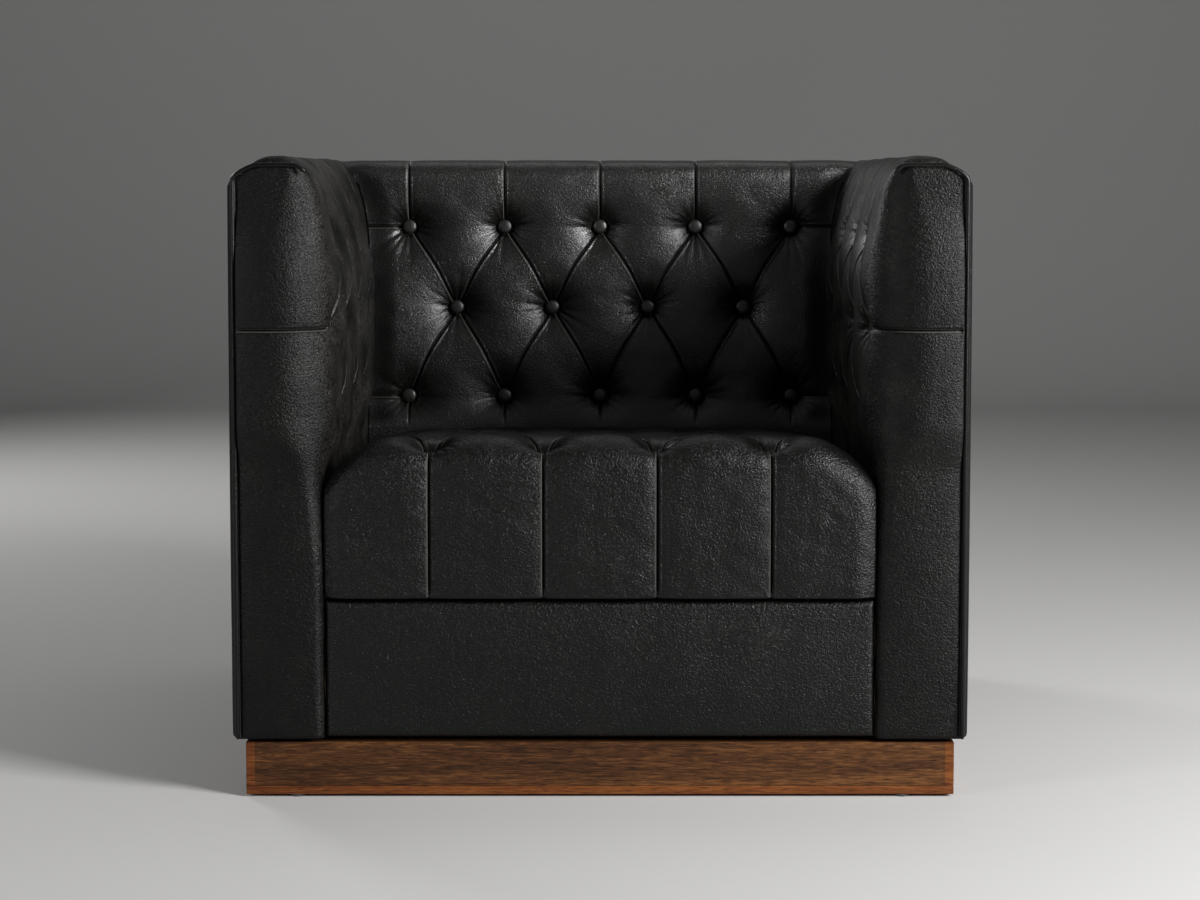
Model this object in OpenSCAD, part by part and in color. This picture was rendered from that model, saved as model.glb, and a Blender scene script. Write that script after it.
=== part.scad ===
// Tufted swivel chair on a plinth. Millimetres, Z up, front towards -Y.
// The origin is on the floor, on the axis that the seat turns about.

/* [Chair body] */
// Width between the two inside arm faces
seat_w = 644; // [600:4:680]
// Depth of the wooden frame, front face to rear face
frame_d = 757; // [720:1:800]
// Height of the frame above the deck board
frame_h = 630; // [600:2:660]
// Width of the frame inside each arm
arm_frame_w = 66; // [56:1:80]
// Thickness of the wooden rails of the seat
rail_t = 28; // [22:1:34]
// Height of the seat rails above the deck board
rail_h = 132; // [110:2:150]
// Thickness of the deck board under the frame
deck_t = 18; // [15:1:25]

/* [Padding] */
// Thickness of the padding on the inside of each arm
arm_pad_t = 32; // [28:1:40]
// Thickness of the padding over the top of the frame, at its crest
top_pad_t = 32; // [26:1:36]
// Thickness of the padding over the top of the frame, at its outer seam
top_lip_t = 6; // [4:1:10]
// Height of the rounded top edge of arms and back
top_edge_h = 50; // [36:1:56]
// Width of the rounded inner edge of the arms
arm_edge_w = 49; // [40:1:60]
// Depth of the rounded front edge of the back
back_edge_d = 45; // [36:1:54]
// Thickness of the padding on the front of the arms, at its edges
front_pad_t = 16; // [14:1:22]
// Further thickness of that padding in its middle
front_crown = 7; // [4:1:9]
// Thickness of the outside arm panels at their edges
side_panel_t = 10; // [8:1:14]
// Further thickness of those panels in their middle
side_crown = 5; // [2:1:8]
// Thickness of the outside back panel at its edges
rear_panel_t = 6; // [5:1:10]
// Further thickness of that panel in its middle
rear_crown = 4; // [2:1:6]
// Depth from the front of the back pad to its frame, at the seat
back_pad_t = 80; // [74:1:90]
// Depth of the back frame behind the pad
back_frame_d = 140; // [120:1:160]
// Lean of the back pad, measured at its crest
back_lean = 30; // [20:1:34]
// Diameter of the piping
welt_d = 6; // [4:0.5:8]

/* [Seat cushion] */
// Height of the cushion's crest above its underside
cushion_h = 189; // [170:1:196]
// Fall of the cushion's crest from its front row of tufts to its back
cushion_fall = 45; // [20:1:60]
// Fall of the cushion's crest to its two sides
cushion_side_fall = 52; // [40:1:70]
// Radius of the cushion's front edge
cushion_edge_r = 38; // [28:1:44]
// Height between the seat rails and the cushion, filled by springs and felt
spring_space = 16; // [14:1:20]

/* [Tufting] */
// Distance between two tufts of one row
tuft_pitch = 133; // [125:1:142]
// Height of the middle row of back buttons below the top row
back_row_high = 112; // [104:1:118]
// Height of the bottom row of back buttons below the middle row
back_row_low = 123; // [112:1:128]
// Height between two rows of arm buttons
arm_row = 108; // [100:1:114]
// Height of the crest above the top row of buttons
top_row_drop = 93; // [86:1:100]
// Distance between two rows of seat tufts
seat_row = 120; // [110:1:128]
// Distance of the first seat tufts from the front of the cushion
seat_row_inset = 30; // [26:1:34]
// Depth of the back tufts
back_tuft_depth = 30; // [22:1:34]
// Depth of the arm tufts
arm_tuft_depth = 20; // [14:1:22]
// Depth of the seat tufts
seat_tuft_depth = 26; // [18:1:30]
// Diameter of the covered buttons
button_d = 20; // [16:1:22]

/* [Plinth] */
// How far the plinth stands in from the sides of the frame
plinth_side_inset = 5; // [0:1:15]
// How far the plinth stands in from the front and rear of the chair body
plinth_end_inset = 12; // [5:1:30]
// Height of the plinth boards
plinth_h = 62; // [56:1:80]
// Thickness of the plinth boards
board_t = 22; // [18:1:26]
// Height of the glides under the plinth
glide_h = 3; // [2:0.5:6]
// Diameter of the glides
glide_d = 20; // [14:1:22]
// Height from the plinth to the underside of the chair body
turn_gap = 5; // [4:0.5:10]

/* [Swivel bearing] */
// Side of the two square bearing plates
plate_w = 300; // [280:5:320]
// Thickness of the bearing plates
plate_t = 2.5; // [2:0.5:4]
// Radius of the circle that the balls run on
race_r = 117; // [105:1:122]
// Width of each ball race
race_w = 26; // [22:1:30]
// Height of each ball race
race_h = 6.3; // [6:0.1:7]
// Height of the space between the two races
race_gap = 2.4; // [2:0.1:3.2]
// Diameter of the balls
ball_d = 10; // [9:0.5:10.5]
// Number of balls
ball_count = 24; // [16:1:30]
// Diameter of the king pin
pin_d = 16; // [12:1:20]

/* [Springs] */
// Number of sinuous springs
spring_count = 5; // [3:1:5]
// Distance between two springs
spring_pitch = 110; // [100:5:120]
// Diameter of the spring wire
spring_wire_d = 3.8; // [3:0.2:4.2]
// Width of a sinuous spring
spring_w = 52; // [44:2:60]
// Number of bends in a spring
spring_bends = 16; // [12:2:18]

/* [Hidden] */

$fn = 64;

// Clearances: hard parts that fit, soft parts side by side, balls in their grooves, cuts
fit = 0.05;
soft = 0.3;
ball_play = 0.15;
cut = 1;

// Smaller sizes of the bearing and its fasteners
cage_t = 1.4;
cage_side_gap = 2;
screw_inset = 20;
screw_d = 5;
screw_head_d = 11;
screw_head_h = 3.2;
screw_reach = 14;
pin_head_h = 6;
pin_head_d = 28;
washer_t = 2;
washer_d = 34;
nut_h = 9;
pin_end = 3;
deck_hole_d = 52;

// Smaller sizes of the plinth and the frame
cross_rail_w = 80;
cross_rail_t = 25;
plinth_block = 38;
plinth_block_drop = 6;
glide_inset = 60;
side_glide_y = 150;
post_d = 40;
arm_rail_h = 45;
top_board_t = 28;
back_post_w = 32;
back_post_d = 45;
slat_w = 60;
slat_t = 20;
slat_x = 110;
seat_block = 60;
seat_block_h = 80;
dust_cover_t = 1.2;

// Smaller sizes of the springs and foams
clip_h = 6.2;
clip_w = 12;
clip_d = 14;
felt_inset = 4;
seat_foam_h = 90;
seat_foam_inset = 60;
back_foam_t = 22;
back_foam_inset = 45;
arm_foam_t = 18;
arm_foam_inset = 34;
foam_rise = 60;
foam_top_drop = 80;

// Smaller sizes of the padding
cushion_set_back = 2;
cushion_shoulder = 100;
front_fold_top = 8;
front_fold_low = 3;
side_roll = 8;
side_roll_w = 40;
arm_bulge = 14;
arm_bulge_h = 60;
arm_tuft_inset = 48;
tuft_edge_keep = 30;
front_fold_d = 5;
front_fold_h = 14;
pad_rim = 1.5;
rail_cover_t = 13;
rail_cover_gap = 2;
welt_drop = 9;
welt_corner = 8;
hook_inset = 22;
button_edge = 2.5;
button_dome = 4;

// Places across the width, from the middle outwards
seat_side = seat_w / 2;
cover_side = seat_side - soft;
arm_face = seat_side + soft;
frame_in = seat_side + arm_pad_t;
frame_out = frame_in + arm_frame_w;
arm_crest_x = frame_out - arm_edge_w;
seat_rail_in = frame_in - rail_t;
plinth_w = 2 * (frame_out - plinth_side_inset);

// Places along the depth
chair_d = frame_d + front_pad_t + front_crown + rear_panel_t + rear_crown;
plinth_d = chair_d - 2 * plinth_end_inset;
front = -chair_d / 2 + front_pad_t + front_crown;
rear = front + frame_d;
pad_front = front - front_pad_t;
back_frame_y = rear - back_frame_d;
back_front = back_frame_y - back_pad_t;
back_crest_y = back_front + back_lean + back_edge_d;
cushion_front = -chair_d / 2 + cushion_set_back;
cushion_d = back_front - soft - cushion_front;

// Places up the height
plinth_top = glide_h + plinth_h;
deck_z = plinth_top + turn_gap;
frame_z = deck_z + deck_t;
rail_top = frame_z + rail_h;
pad_z = rail_top + spring_space;
shelf_z = frame_z + frame_h;
crest_z = shelf_z + top_pad_t;
seam_z = shelf_z + top_lip_t;
edge_z = crest_z - top_edge_h;
top_row_z = crest_z - top_row_drop;
seat_level_z = pad_z + cushion_h - cushion_fall;

// Swivel bearing, worked out from the deck board downwards
upper_plate_z = deck_z - plate_t;
upper_race_z = upper_plate_z - race_h;
ball_z = upper_race_z - race_gap / 2;
lower_race_z = ball_z - race_gap / 2 - race_h;
lower_plate_z = lower_race_z - plate_t;
screw_place = plate_w / 2 - screw_inset;

// Tuft places. u counts half pitches along a pad, v counts rows up or back.
half_pitch = tuft_pitch / 2;
u_edge = floor((seat_side - tuft_edge_keep) / half_pitch);
back_rows = [top_row_z - back_row_high - back_row_low, top_row_z - back_row_high, top_row_z];
arm_rows = [top_row_z - 2 * arm_row, top_row_z - arm_row, top_row_z];
arm_tuft_y = front + arm_tuft_inset;
arm_u_last = floor((back_front - arm_tuft_y) / half_pitch);
arm_y_last = arm_tuft_y + arm_u_last * half_pitch;
seat_v_last = floor((cushion_d - seat_row_inset - tuft_edge_keep) / seat_row);

// Steps of the grids between two lines of tufts, over a rounded edge and across the top
fold_steps = 3;
edge_steps = 4;
top_steps = 3;

// How deep the folds stay over the rounded edge and on the crest, as shares of the tufts
edge_fold_share = 0.16;
crest_fold_share = 0.05;
arm_front_fold_share = 0.35;
// Least rise of a button's pointed shank, as a share of the depth of its tuft
button_shank_share = 0.43;
// Where the columns and rows of a panel lie, as shares of its width and height
panel_shares = [0, 0.03, 0.12, 0.3, 0.5, 0.7, 0.88, 0.97, 1];
arm_front_shares = [0, 0.012, 0.05, 0.11, 0.2, 0.32, 0.46, 0.6, 0.74, 0.88, 0.96, 1];
below_fold_shares = [0, 0.03, 0.12, 0.3, 0.55, 0.85];
above_fold_shares = [0.25, 0.6, 0.9];
to_welt_shares = [0.4, 0.8];
rim_share = 0.8;
// How roundly the padding puffs up, as powers of a share
puff_power = 0.5;
shoulder_power = 2.2;
crown_power = 0.5;
dome_power = 2.5;

function clamp(t, low, high) = max(low, min(high, t));
function mix(a, b, t) = a + (b - a) * t;
function ease(t) = let (c = clamp(t, 0, 1)) c * c * (3 - 2 * c);
function wave(t) = sin(180 * (t - floor(t)));
function crown(t) = pow(max(0, sin(180 * t)), crown_power);
function sum(list, i = 0) = i == len(list) ? 0 : list[i] + sum(list, i + 1);
function mean(list) = [for (axis = [0:2]) sum([for (p = list) p[axis]]) / len(list)];
function reversed(list) = [for (i = [len(list) - 1:-1:0]) list[i]];
function order(from, to) = [for (i = [from:to]) i];

// A list of places with a few even steps put in between each pair
function subdivide(knots, steps) = concat(
  [for (i = [0:len(knots) - 2], j = [0:steps - 1]) mix(knots[i], knots[i + 1], j / steps)],
  [knots[len(knots) - 1]]
);

// Row number of a height among three rows, going on evenly above and below them
function row_place(z, rows) =
  z < rows[1] ? (z - rows[0]) / (rows[1] - rows[0]) : 1 + (z - rows[1]) / (rows[2] - rows[1]);

// Puff of diamond tufting: 0 in a tuft, 1 in the middle of a diamond, lower along the folds.
// Tufts lie where u and v are whole numbers whose sum is even. Past the last row or column
// the folds run straight out to the edge.
function puff(u, v, u_low, u_high, v_high) =
  let (
    cu = clamp(u, u_low, u_high),
    cv = clamp(v, 0, v_high),
    du = abs(u - cu),
    dv = abs(v - cv)
  )
  du > 0 && dv > 0
    ? sqrt(sin(90 * min(1, du)) * sin(90 * min(1, dv)))
    : (wave((cu + cv) / 2) + wave((cu - cv) / 2)) / 2;
// Share of a tuft's depth that is left at a place with this puff
function dip(e) = 1 - pow(max(0, e), puff_power);
// Share of the depth that is left on the way from the last column of tufts to the side
function column_fade(u) =
  mix(1, edge_fold_share, clamp((abs(u) - u_edge) * half_pitch / tuft_edge_keep, 0, 1));

// Two triangles for each cell of a grid, cut the way that the folds run there
function grid_faces(us, vs) = [
  for (i = [0:len(vs) - 2], j = [0:len(us) - 2])
    let (
      a = i * len(us) + j,
      b = a + 1,
      c = a + len(us),
      d = c + 1,
      rising = (round(us[j] / 2 + us[j + 1] / 2 - 0.5) + round(vs[i] / 2 + vs[i + 1] / 2 - 0.5)) % 2 == 0
    )
    each (rising ? [[a, d, b], [a, c, d]] : [[a, c, b], [b, c, d]])
];
function fan(loop, middle) = [
  for (i = [0:len(loop) - 1]) [loop[i], loop[(i + 1) % len(loop)], middle]
];

// Closed pad. Its soft side is a grid of points, one row of [along, depth, height] for each
// place round the cross-section. The cross-section closes through the corners in closing,
// as [depth, height], and its two ends are fans about the hub.
module pad_solid(grid, us, vs, closing, hub) {
  cols = len(us);
  last = len(vs) - 1;
  ends = [grid[0][0][0], grid[0][cols - 1][0]];
  n = cols * len(vs);
  m = len(closing);
  top = [for (a = ends) [a, closing[0][0], closing[0][1]]];
  low = [for (a = ends) [a, closing[m - 1][0], closing[m - 1][1]]];
  points = concat(
    [for (row = grid, p = row) p],
    [for (c = closing, a = ends) [a, c[0], c[1]]],
    [for (a = ends) [a, hub[0], hub[1]]],
    [mean(concat(grid[last], top, top)), mean(concat(grid[0], low, low))]
  );
  low_end = concat([for (i = [0:last]) i * cols], [for (k = [0:m - 1]) n + 2 * k]);
  high_end = concat([for (i = [1:last + 1]) i * cols - 1], [for (k = [0:m - 1]) n + 2 * k + 1]);
  top_strip = concat(order(last * cols, n - 1), [n + 1, n]);
  low_strip = concat(order(0, cols - 1), [n + 2 * m - 1, n + 2 * m - 2]);
  extra = n + 2 * m;
  corners = m < 2 ? [] : [
    for (k = [n:2:n + 2 * m - 4]) each [[k, k + 2, k + 3], [k, k + 3, k + 1]]
  ];
  polyhedron(points, concat(
    grid_faces(us, vs),
    fan(reversed(low_end), extra),
    fan(high_end, extra + 1),
    fan(reversed(top_strip), extra + 2),
    fan(low_strip, extra + 3),
    corners
  ));
}

// Closed panel: a grid of [along, depth, height] over a flat back at the depth given
module panel_solid(grid, back) {
  rows = len(grid);
  cols = len(grid[0]);
  n = rows * cols;
  flat = [for (row = grid, p = row) p];
  rim = concat(
    order(0, cols - 1),
    [for (i = [2:rows]) i * cols - 1],
    [for (k = [n - 2:-1:n - cols]) k],
    [for (i = [rows - 2:-1:1]) i * cols]
  );
  dropped = [for (k = rim) [flat[k][0], back, flat[k][2]]];
  count = len(rim);
  polyhedron(concat(flat, dropped, [mean(dropped)]), concat(
    grid_faces(order(0, cols - 1), order(0, rows - 1)),
    [for (k = [0:count - 1]) let (next = (k + 1) % count) each [
      [rim[k], rim[next], n + next],
      [rim[k], n + next, n + k]
    ]],
    fan(order(n, n + count - 1), n + count)
  ));
}

// Puffed panel between two places along and two heights, in front of the depth given
module puffed_panel(along, heights, back, edge, rise) {
  panel_solid([
    for (t = panel_shares) [
      for (s = panel_shares) [
        mix(along[0], along[1], s),
        back - edge - rise * crown(s) * crown(t),
        mix(heights[0], heights[1], t)
      ]
    ]
  ], back);
}

// Round bar along a path in a plane, given the direction square to that plane
module bar(path, d, normal, sides) {
  n = len(path);
  rings = [
    for (i = [0:n - 1])
      let (
        ahead = path[min(i + 1, n - 1)] - path[max(i - 1, 0)],
        side = cross(normal, ahead / norm(ahead))
      )
      for (k = [0:sides - 1])
        path[i] + d / 2 * (cos(360 * k / sides) * normal + sin(360 * k / sides) * side)
  ];
  polyhedron(rings, concat(
    [reversed(order(0, sides - 1))],
    [
      for (i = [0:n - 2], k = [0:sides - 1])
        let (a = i * sides + k, b = i * sides + (k + 1) % sides)
        each [[a, b, b + sides], [a, b + sides, a + sides]]
    ],
    [order((n - 1) * sides, n * sides - 1)]
  ));
}

module block(low, high) {
  translate(low) cube(high - low);
}
module rod(d, low, high) {
  translate([0, 0, low]) cylinder(d = d, h = high - low);
}
module hexagon(d, low, high) {
  translate([0, 0, low]) cylinder(d = d, h = high - low, $fn = 6);
}
module left() {
  mirror([1, 0, 0]) children();
}
module at_corners(x, y) {
  for (sx = [-1, 1], sy = [-1, 1]) translate([sx * x, sy * y, 0]) children();
}

// Plinth
module plinth_long_board() {
  inner = [plinth_w / 2 - board_t, plinth_d / 2 - board_t];
  translate([0, 0, glide_h]) linear_extrude(plinth_h) polygon([
    [-plinth_w / 2, -plinth_d / 2], [plinth_w / 2, -plinth_d / 2],
    [inner[0], -inner[1]], [-inner[0], -inner[1]]
  ]);
}
module plinth_side_board() {
  inner = [plinth_w / 2 - board_t, plinth_d / 2 - board_t];
  translate([0, 0, glide_h]) linear_extrude(plinth_h) polygon([
    [plinth_w / 2, -plinth_d / 2], [plinth_w / 2, plinth_d / 2],
    [inner[0], inner[1]], [inner[0], -inner[1]]
  ]);
}
module plinth_front_board() { color("saddlebrown") plinth_long_board(); }
module plinth_rear_board() { color("saddlebrown") mirror([0, 1, 0]) plinth_long_board(); }
module plinth_right_board() { color("saddlebrown") plinth_side_board(); }
module plinth_left_board() { color("saddlebrown") left() plinth_side_board(); }
module plinth_corner_blocks() {
  x = plinth_w / 2 - board_t - plinth_block;
  y = plinth_d / 2 - board_t - plinth_block;
  top = plinth_top - plinth_block_drop;
  color("tan") for (sx = [0, 1], sy = [0, 1]) mirror([sx, 0, 0]) mirror([0, sy, 0])
    block([x, y, glide_h], [x + plinth_block, y + plinth_block, top]);
}
module plinth_cross_rails() {
  x = plinth_w / 2 - board_t;
  color("tan") for (sy = [0, 1]) mirror([0, sy, 0]) difference() {
    block(
      [-x, screw_place - cross_rail_w / 2, lower_plate_z - cross_rail_t],
      [x, screw_place + cross_rail_w / 2, lower_plate_z]
    );
    for (sx = [-1, 1]) translate([sx * screw_place, screw_place, 0])
      rod(screw_d + 2 * fit, lower_plate_z - screw_reach, lower_plate_z + cut);
  }
}
module floor_glides() {
  x = plinth_w / 2 - board_t / 2;
  y = plinth_d / 2 - board_t / 2;
  color("dimgray") {
    at_corners(plinth_w / 2 - glide_inset, y) rod(glide_d, 0, glide_h);
    at_corners(x, side_glide_y) rod(glide_d, 0, glide_h);
  }
}

// Swivel bearing
module bearing_plate(low) {
  color("gray") difference() {
    block([-plate_w / 2, -plate_w / 2, low], [plate_w / 2, plate_w / 2, low + plate_t]);
    rod(pin_d + 2 * fit, low - cut, low + plate_t + cut);
    at_corners(screw_place, screw_place) rod(screw_d + 2 * fit, low - cut, low + plate_t + cut);
  }
}
module race(low) {
  color("silver") difference() {
    rod(2 * race_r + race_w, low, low + race_h);
    rod(2 * race_r - race_w, low - cut, low + race_h + cut);
    translate([0, 0, ball_z]) rotate_extrude()
      translate([race_r, 0]) circle(d = ball_d + 2 * ball_play);
  }
}
module plate_screws() {
  color("silver") at_corners(screw_place, screw_place) {
    rod(screw_head_d, -screw_head_h, 0);
    rod(screw_d, -screw_head_h, screw_reach);
  }
}
module swivel_lower_plate() { bearing_plate(lower_plate_z); }
module swivel_upper_plate() { bearing_plate(upper_plate_z); }
module swivel_lower_race() { race(lower_race_z); }
module swivel_upper_race() { race(upper_race_z); }
module upper_plate_screws() { translate([0, 0, upper_plate_z]) plate_screws(); }
module lower_plate_screws() {
  translate([0, 0, lower_race_z]) mirror([0, 0, 1]) plate_screws();
}
module king_pin() {
  color("silver") union() {
    hexagon(pin_head_d, lower_plate_z - pin_head_h, lower_plate_z);
    rod(pin_d, lower_plate_z - pin_head_h, deck_z + soft + washer_t + nut_h + pin_end);
  }
}
module king_pin_washer() {
  low = deck_z + soft;
  color("silver") difference() {
    rod(washer_d, low, low + washer_t);
    rod(pin_d + 2 * fit, low - cut, low + washer_t + cut);
  }
}
module king_pin_nut() {
  low = deck_z + soft + washer_t;
  color("silver") difference() {
    hexagon(pin_head_d, low, low + nut_h);
    rod(pin_d + 2 * fit, low - cut, low + nut_h + cut);
  }
}
module around_race() {
  for (i = [1:ball_count])
    rotate([0, 0, 360 * i / ball_count]) translate([race_r, 0, ball_z]) children();
}
module swivel_balls() {
  color("lightgray") around_race() sphere(d = ball_d);
}
module swivel_ball_cage() {
  color("goldenrod") difference() {
    translate([0, 0, ball_z]) rod(2 * race_r + race_w - 2 * cage_side_gap, -cage_t / 2, cage_t / 2);
    translate([0, 0, ball_z]) rod(2 * race_r - race_w + 2 * cage_side_gap, -cage_t, cage_t);
    around_race() rod(ball_d + 2 * ball_play, -cage_t, cage_t);
  }
}

// Wooden frame
module dust_cover() {
  hole = plate_w / 2 + fit;
  color("black") difference() {
    block([-frame_out, front, deck_z - dust_cover_t], [frame_out, rear, deck_z]);
    block([-hole, -hole, deck_z - dust_cover_t - cut], [hole, hole, deck_z + cut]);
  }
}
module deck_board() {
  color("burlywood") difference() {
    block([-frame_out, front, deck_z], [frame_out, rear, frame_z]);
    rod(deck_hole_d, deck_z - cut, frame_z + cut);
    at_corners(screw_place, screw_place)
      rod(screw_d + 2 * fit, deck_z - cut, upper_plate_z + screw_reach);
  }
}
module front_seat_rail() {
  color("wheat") block([-frame_in, front, frame_z], [frame_in, front + rail_t, rail_top]);
}
module rear_seat_rail() {
  color("wheat") block([-frame_in, back_frame_y - rail_t, frame_z], [frame_in, back_frame_y, rail_top]);
}
module right_seat_rail() {
  color("wheat") block(
    [seat_rail_in, front + rail_t, frame_z],
    [frame_in, back_frame_y - rail_t, rail_top]
  );
}
module left_seat_rail() { left() right_seat_rail(); }
module seat_corner_blocks() {
  corner = [[0, 0], [-seat_block, 0], [0, seat_block]];
  color("tan") for (sx = [0, 1]) mirror([sx, 0, 0]) {
    translate([seat_rail_in, front + rail_t, rail_top - seat_block_h])
      linear_extrude(seat_block_h) polygon(corner);
    translate([seat_rail_in, back_frame_y - rail_t, rail_top - seat_block_h])
      mirror([0, 1, 0]) linear_extrude(seat_block_h) polygon(corner);
  }
}
module right_arm_posts() {
  top = shelf_z - arm_rail_h;
  color("wheat") for (y = [front, rear - post_d])
    block([frame_in, y, frame_z], [frame_out, y + post_d, top]);
}
module right_arm_rail() {
  color("wheat") block([frame_in, front, shelf_z - arm_rail_h], [frame_out, rear, shelf_z]);
}
module left_arm_posts() { left() right_arm_posts(); }
module left_arm_rail() { left() right_arm_rail(); }
module back_posts() {
  color("wheat") for (sx = [0, 1]) mirror([sx, 0, 0]) block(
    [frame_in - back_post_w, back_frame_y, frame_z],
    [frame_in, back_frame_y + back_post_d, shelf_z - top_board_t]
  );
}
module back_slats() {
  color("wheat") for (sx = [0, 1]) mirror([sx, 0, 0]) block(
    [slat_x - slat_w / 2, back_frame_y, frame_z],
    [slat_x + slat_w / 2, back_frame_y + slat_t, shelf_z - top_board_t]
  );
}
module back_top_board() {
  color("wheat") block([-frame_in, back_frame_y, shelf_z - top_board_t], [frame_in, rear, shelf_z]);
}

// Springs, from the clips on the front rail to the clips on the rear rail
clip_z = rail_top + clip_h / 2;
clip_ys = [front + rail_t / 2, back_frame_y - rail_t / 2];
spring_xs = [for (i = [1:spring_count]) (i - (spring_count + 1) / 2) * spring_pitch];
bend_pitch = (clip_ys[1] - clip_ys[0]) / spring_bends;
bend_x = (spring_w - bend_pitch) / 2;
bend_angles = [-90, -30, 30, 90];
module sinuous_spring(x) {
  first = [x - bend_x, clip_ys[0], clip_z];
  last = [x + (spring_bends % 2 == 0 ? bend_x : -bend_x), clip_ys[1], clip_z];
  bends = [
    for (i = [0:spring_bends - 1], angle = bend_angles)
      let (side = i % 2 == 0 ? 1 : -1)
      [
        x + side * (bend_x + bend_pitch / 2 * cos(angle)),
        clip_ys[0] + bend_pitch * (i + 0.5) + bend_pitch / 2 * sin(angle),
        clip_z
      ]
  ];
  bar(concat([first], bends, [last]), spring_wire_d, [0, 0, 1], 6);
}
module seat_springs() {
  color("slategray") for (x = spring_xs) sinuous_spring(x);
}
module spring_clips() {
  color("gray") for (x = spring_xs, y = clip_ys) difference() {
    block(
      [x - clip_w / 2, y - clip_d / 2, rail_top],
      [x + clip_w / 2, y + clip_d / 2, rail_top + clip_h]
    );
    translate([x, y, clip_z]) rotate([0, 90, 0])
      rod(spring_wire_d + 2 * fit, -clip_w / 2 - cut, clip_w / 2 + cut);
  }
}
module spring_felt() {
  x = seat_side - felt_inset;
  color("darkkhaki") block(
    [-x, front, rail_top + clip_h + soft],
    [x, back_frame_y - felt_inset, pad_z - soft]
  );
}

// Seat cushion: up the front face, round its edge and back along the top
seat_us = [for (x = subdivide(cushion_knots(), fold_steps)) x / half_pitch + 1];
function cushion_knots() = concat(
  [-cover_side],
  [for (u = [-u_edge:u_edge]) u * half_pitch],
  [cover_side]
);
// Height of the crest above the underside, at a distance behind the cushion's front
function crest_at(d) = d < cushion_edge_r
  ? cushion_h - cushion_edge_r + sqrt(pow(cushion_edge_r, 2) - pow(cushion_edge_r - d, 2))
  : cushion_h - cushion_fall * (d - cushion_edge_r) / (cushion_d - cushion_edge_r);
// Rows of [depth, height over the underside, slope angle, row number, depth of the folds]
function seat_rows() =
  let (
    face_h = cushion_h - cushion_edge_r,
    tuft_angle = acos(1 - seat_row_inset / cushion_edge_r),
    knots = [for (v = [0:seat_v_last]) seat_row_inset + v * seat_row]
  )
  concat(
    [for (t = [0:0.25:1]) [0, face_h * t, 0, -1, mix(front_fold_low, front_fold_top, t)]],
    [for (t = [0.25:0.25:0.75])
      let (angle = t * tuft_angle, d = cushion_edge_r * (1 - cos(angle)))
      [d, crest_at(d), angle, t - 1, mix(front_fold_top, seat_tuft_depth, t)]],
    [for (d = subdivide(knots, fold_steps))
      let (angle = d < cushion_edge_r ? acos(1 - d / cushion_edge_r) : 90)
      [d, crest_at(d), angle, (d - seat_row_inset) / seat_row, seat_tuft_depth]],
    [[cushion_d, crest_at(cushion_d), 90, seat_v_last + 1, front_fold_top]]
  );
function shoulder(x) =
  pow(max(0, abs(x) - cover_side + cushion_shoulder) / cushion_shoulder, shoulder_power);
module seat_pad() {
  rows = seat_rows();
  grid = [for (r = rows) [for (u = seat_us)
    let (
      x = (u - 1) * half_pitch,
      dip_d = r[4] * column_fade(u - 1) * dip(puff(u, r[3], 1 - u_edge, 1 + u_edge, seat_v_last)),
      h = r[1] - dip_d * sin(r[2]),
      squeeze = 1 - cushion_side_fall * shoulder(x) / cushion_h
    )
    [x, cushion_front + r[0] + dip_d * cos(r[2]), pad_z + h * squeeze]
  ]];
  corner = [cushion_front + cushion_d, pad_z];
  hub = [cushion_front + cushion_d / 2, pad_z + cushion_h / 4];
  pad_solid(grid, seat_us, [for (r = rows) r[3]], [corner], hub);
}
seat_foam_low = [-seat_side + seat_foam_inset, cushion_front + seat_foam_inset, pad_z];
seat_foam_high = [
  seat_side - seat_foam_inset,
  cushion_front + cushion_d - seat_foam_inset,
  pad_z + seat_foam_h
];
module seat_cover() {
  color([0.09, 0.085, 0.08]) difference() {
    seat_pad();
    block(seat_foam_low - [0, 0, cut], seat_foam_high);
  }
}
module seat_foam() { color("khaki") block(seat_foam_low, seat_foam_high); }

// Rows of a pad that covers an inside face, goes round the top edge and over the frame:
// [depth, height, slope angle, row number, share of the tufts' depth, share up the edge,
// share across the top]
function cover_rows(face, edge, crest, outer, rows, power) = concat(
  [[face, pad_z, 0, -1, 0, 0, 0]],
  [for (z = subdivide(concat([seat_level_z], rows, [edge_z]), fold_steps))
    let (
      rise = ease((z - seat_level_z) / (rows[0] - seat_level_z)),
      fade = mix(1, edge_fold_share, clamp((z - rows[2]) / (edge_z - rows[2]), 0, 1))
    )
    [face, z, 0, row_place(z, rows), rise * fade, 0, 0]],
  [for (i = [1:edge_steps])
    let (t = i / edge_steps)
    [crest - edge * cos(90 * t), edge_z + top_edge_h * sin(90 * t), 90 * t, 3 + t,
      mix(edge_fold_share, crest_fold_share, t), t, 0]],
  [for (i = [1:top_steps])
    let (s = i / top_steps)
    [mix(crest, outer, s), crest_z - (crest_z - seam_z) * pow(s, power), 90, 4 + s,
      crest_fold_share * (1 - s), 1, s]]
);

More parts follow.
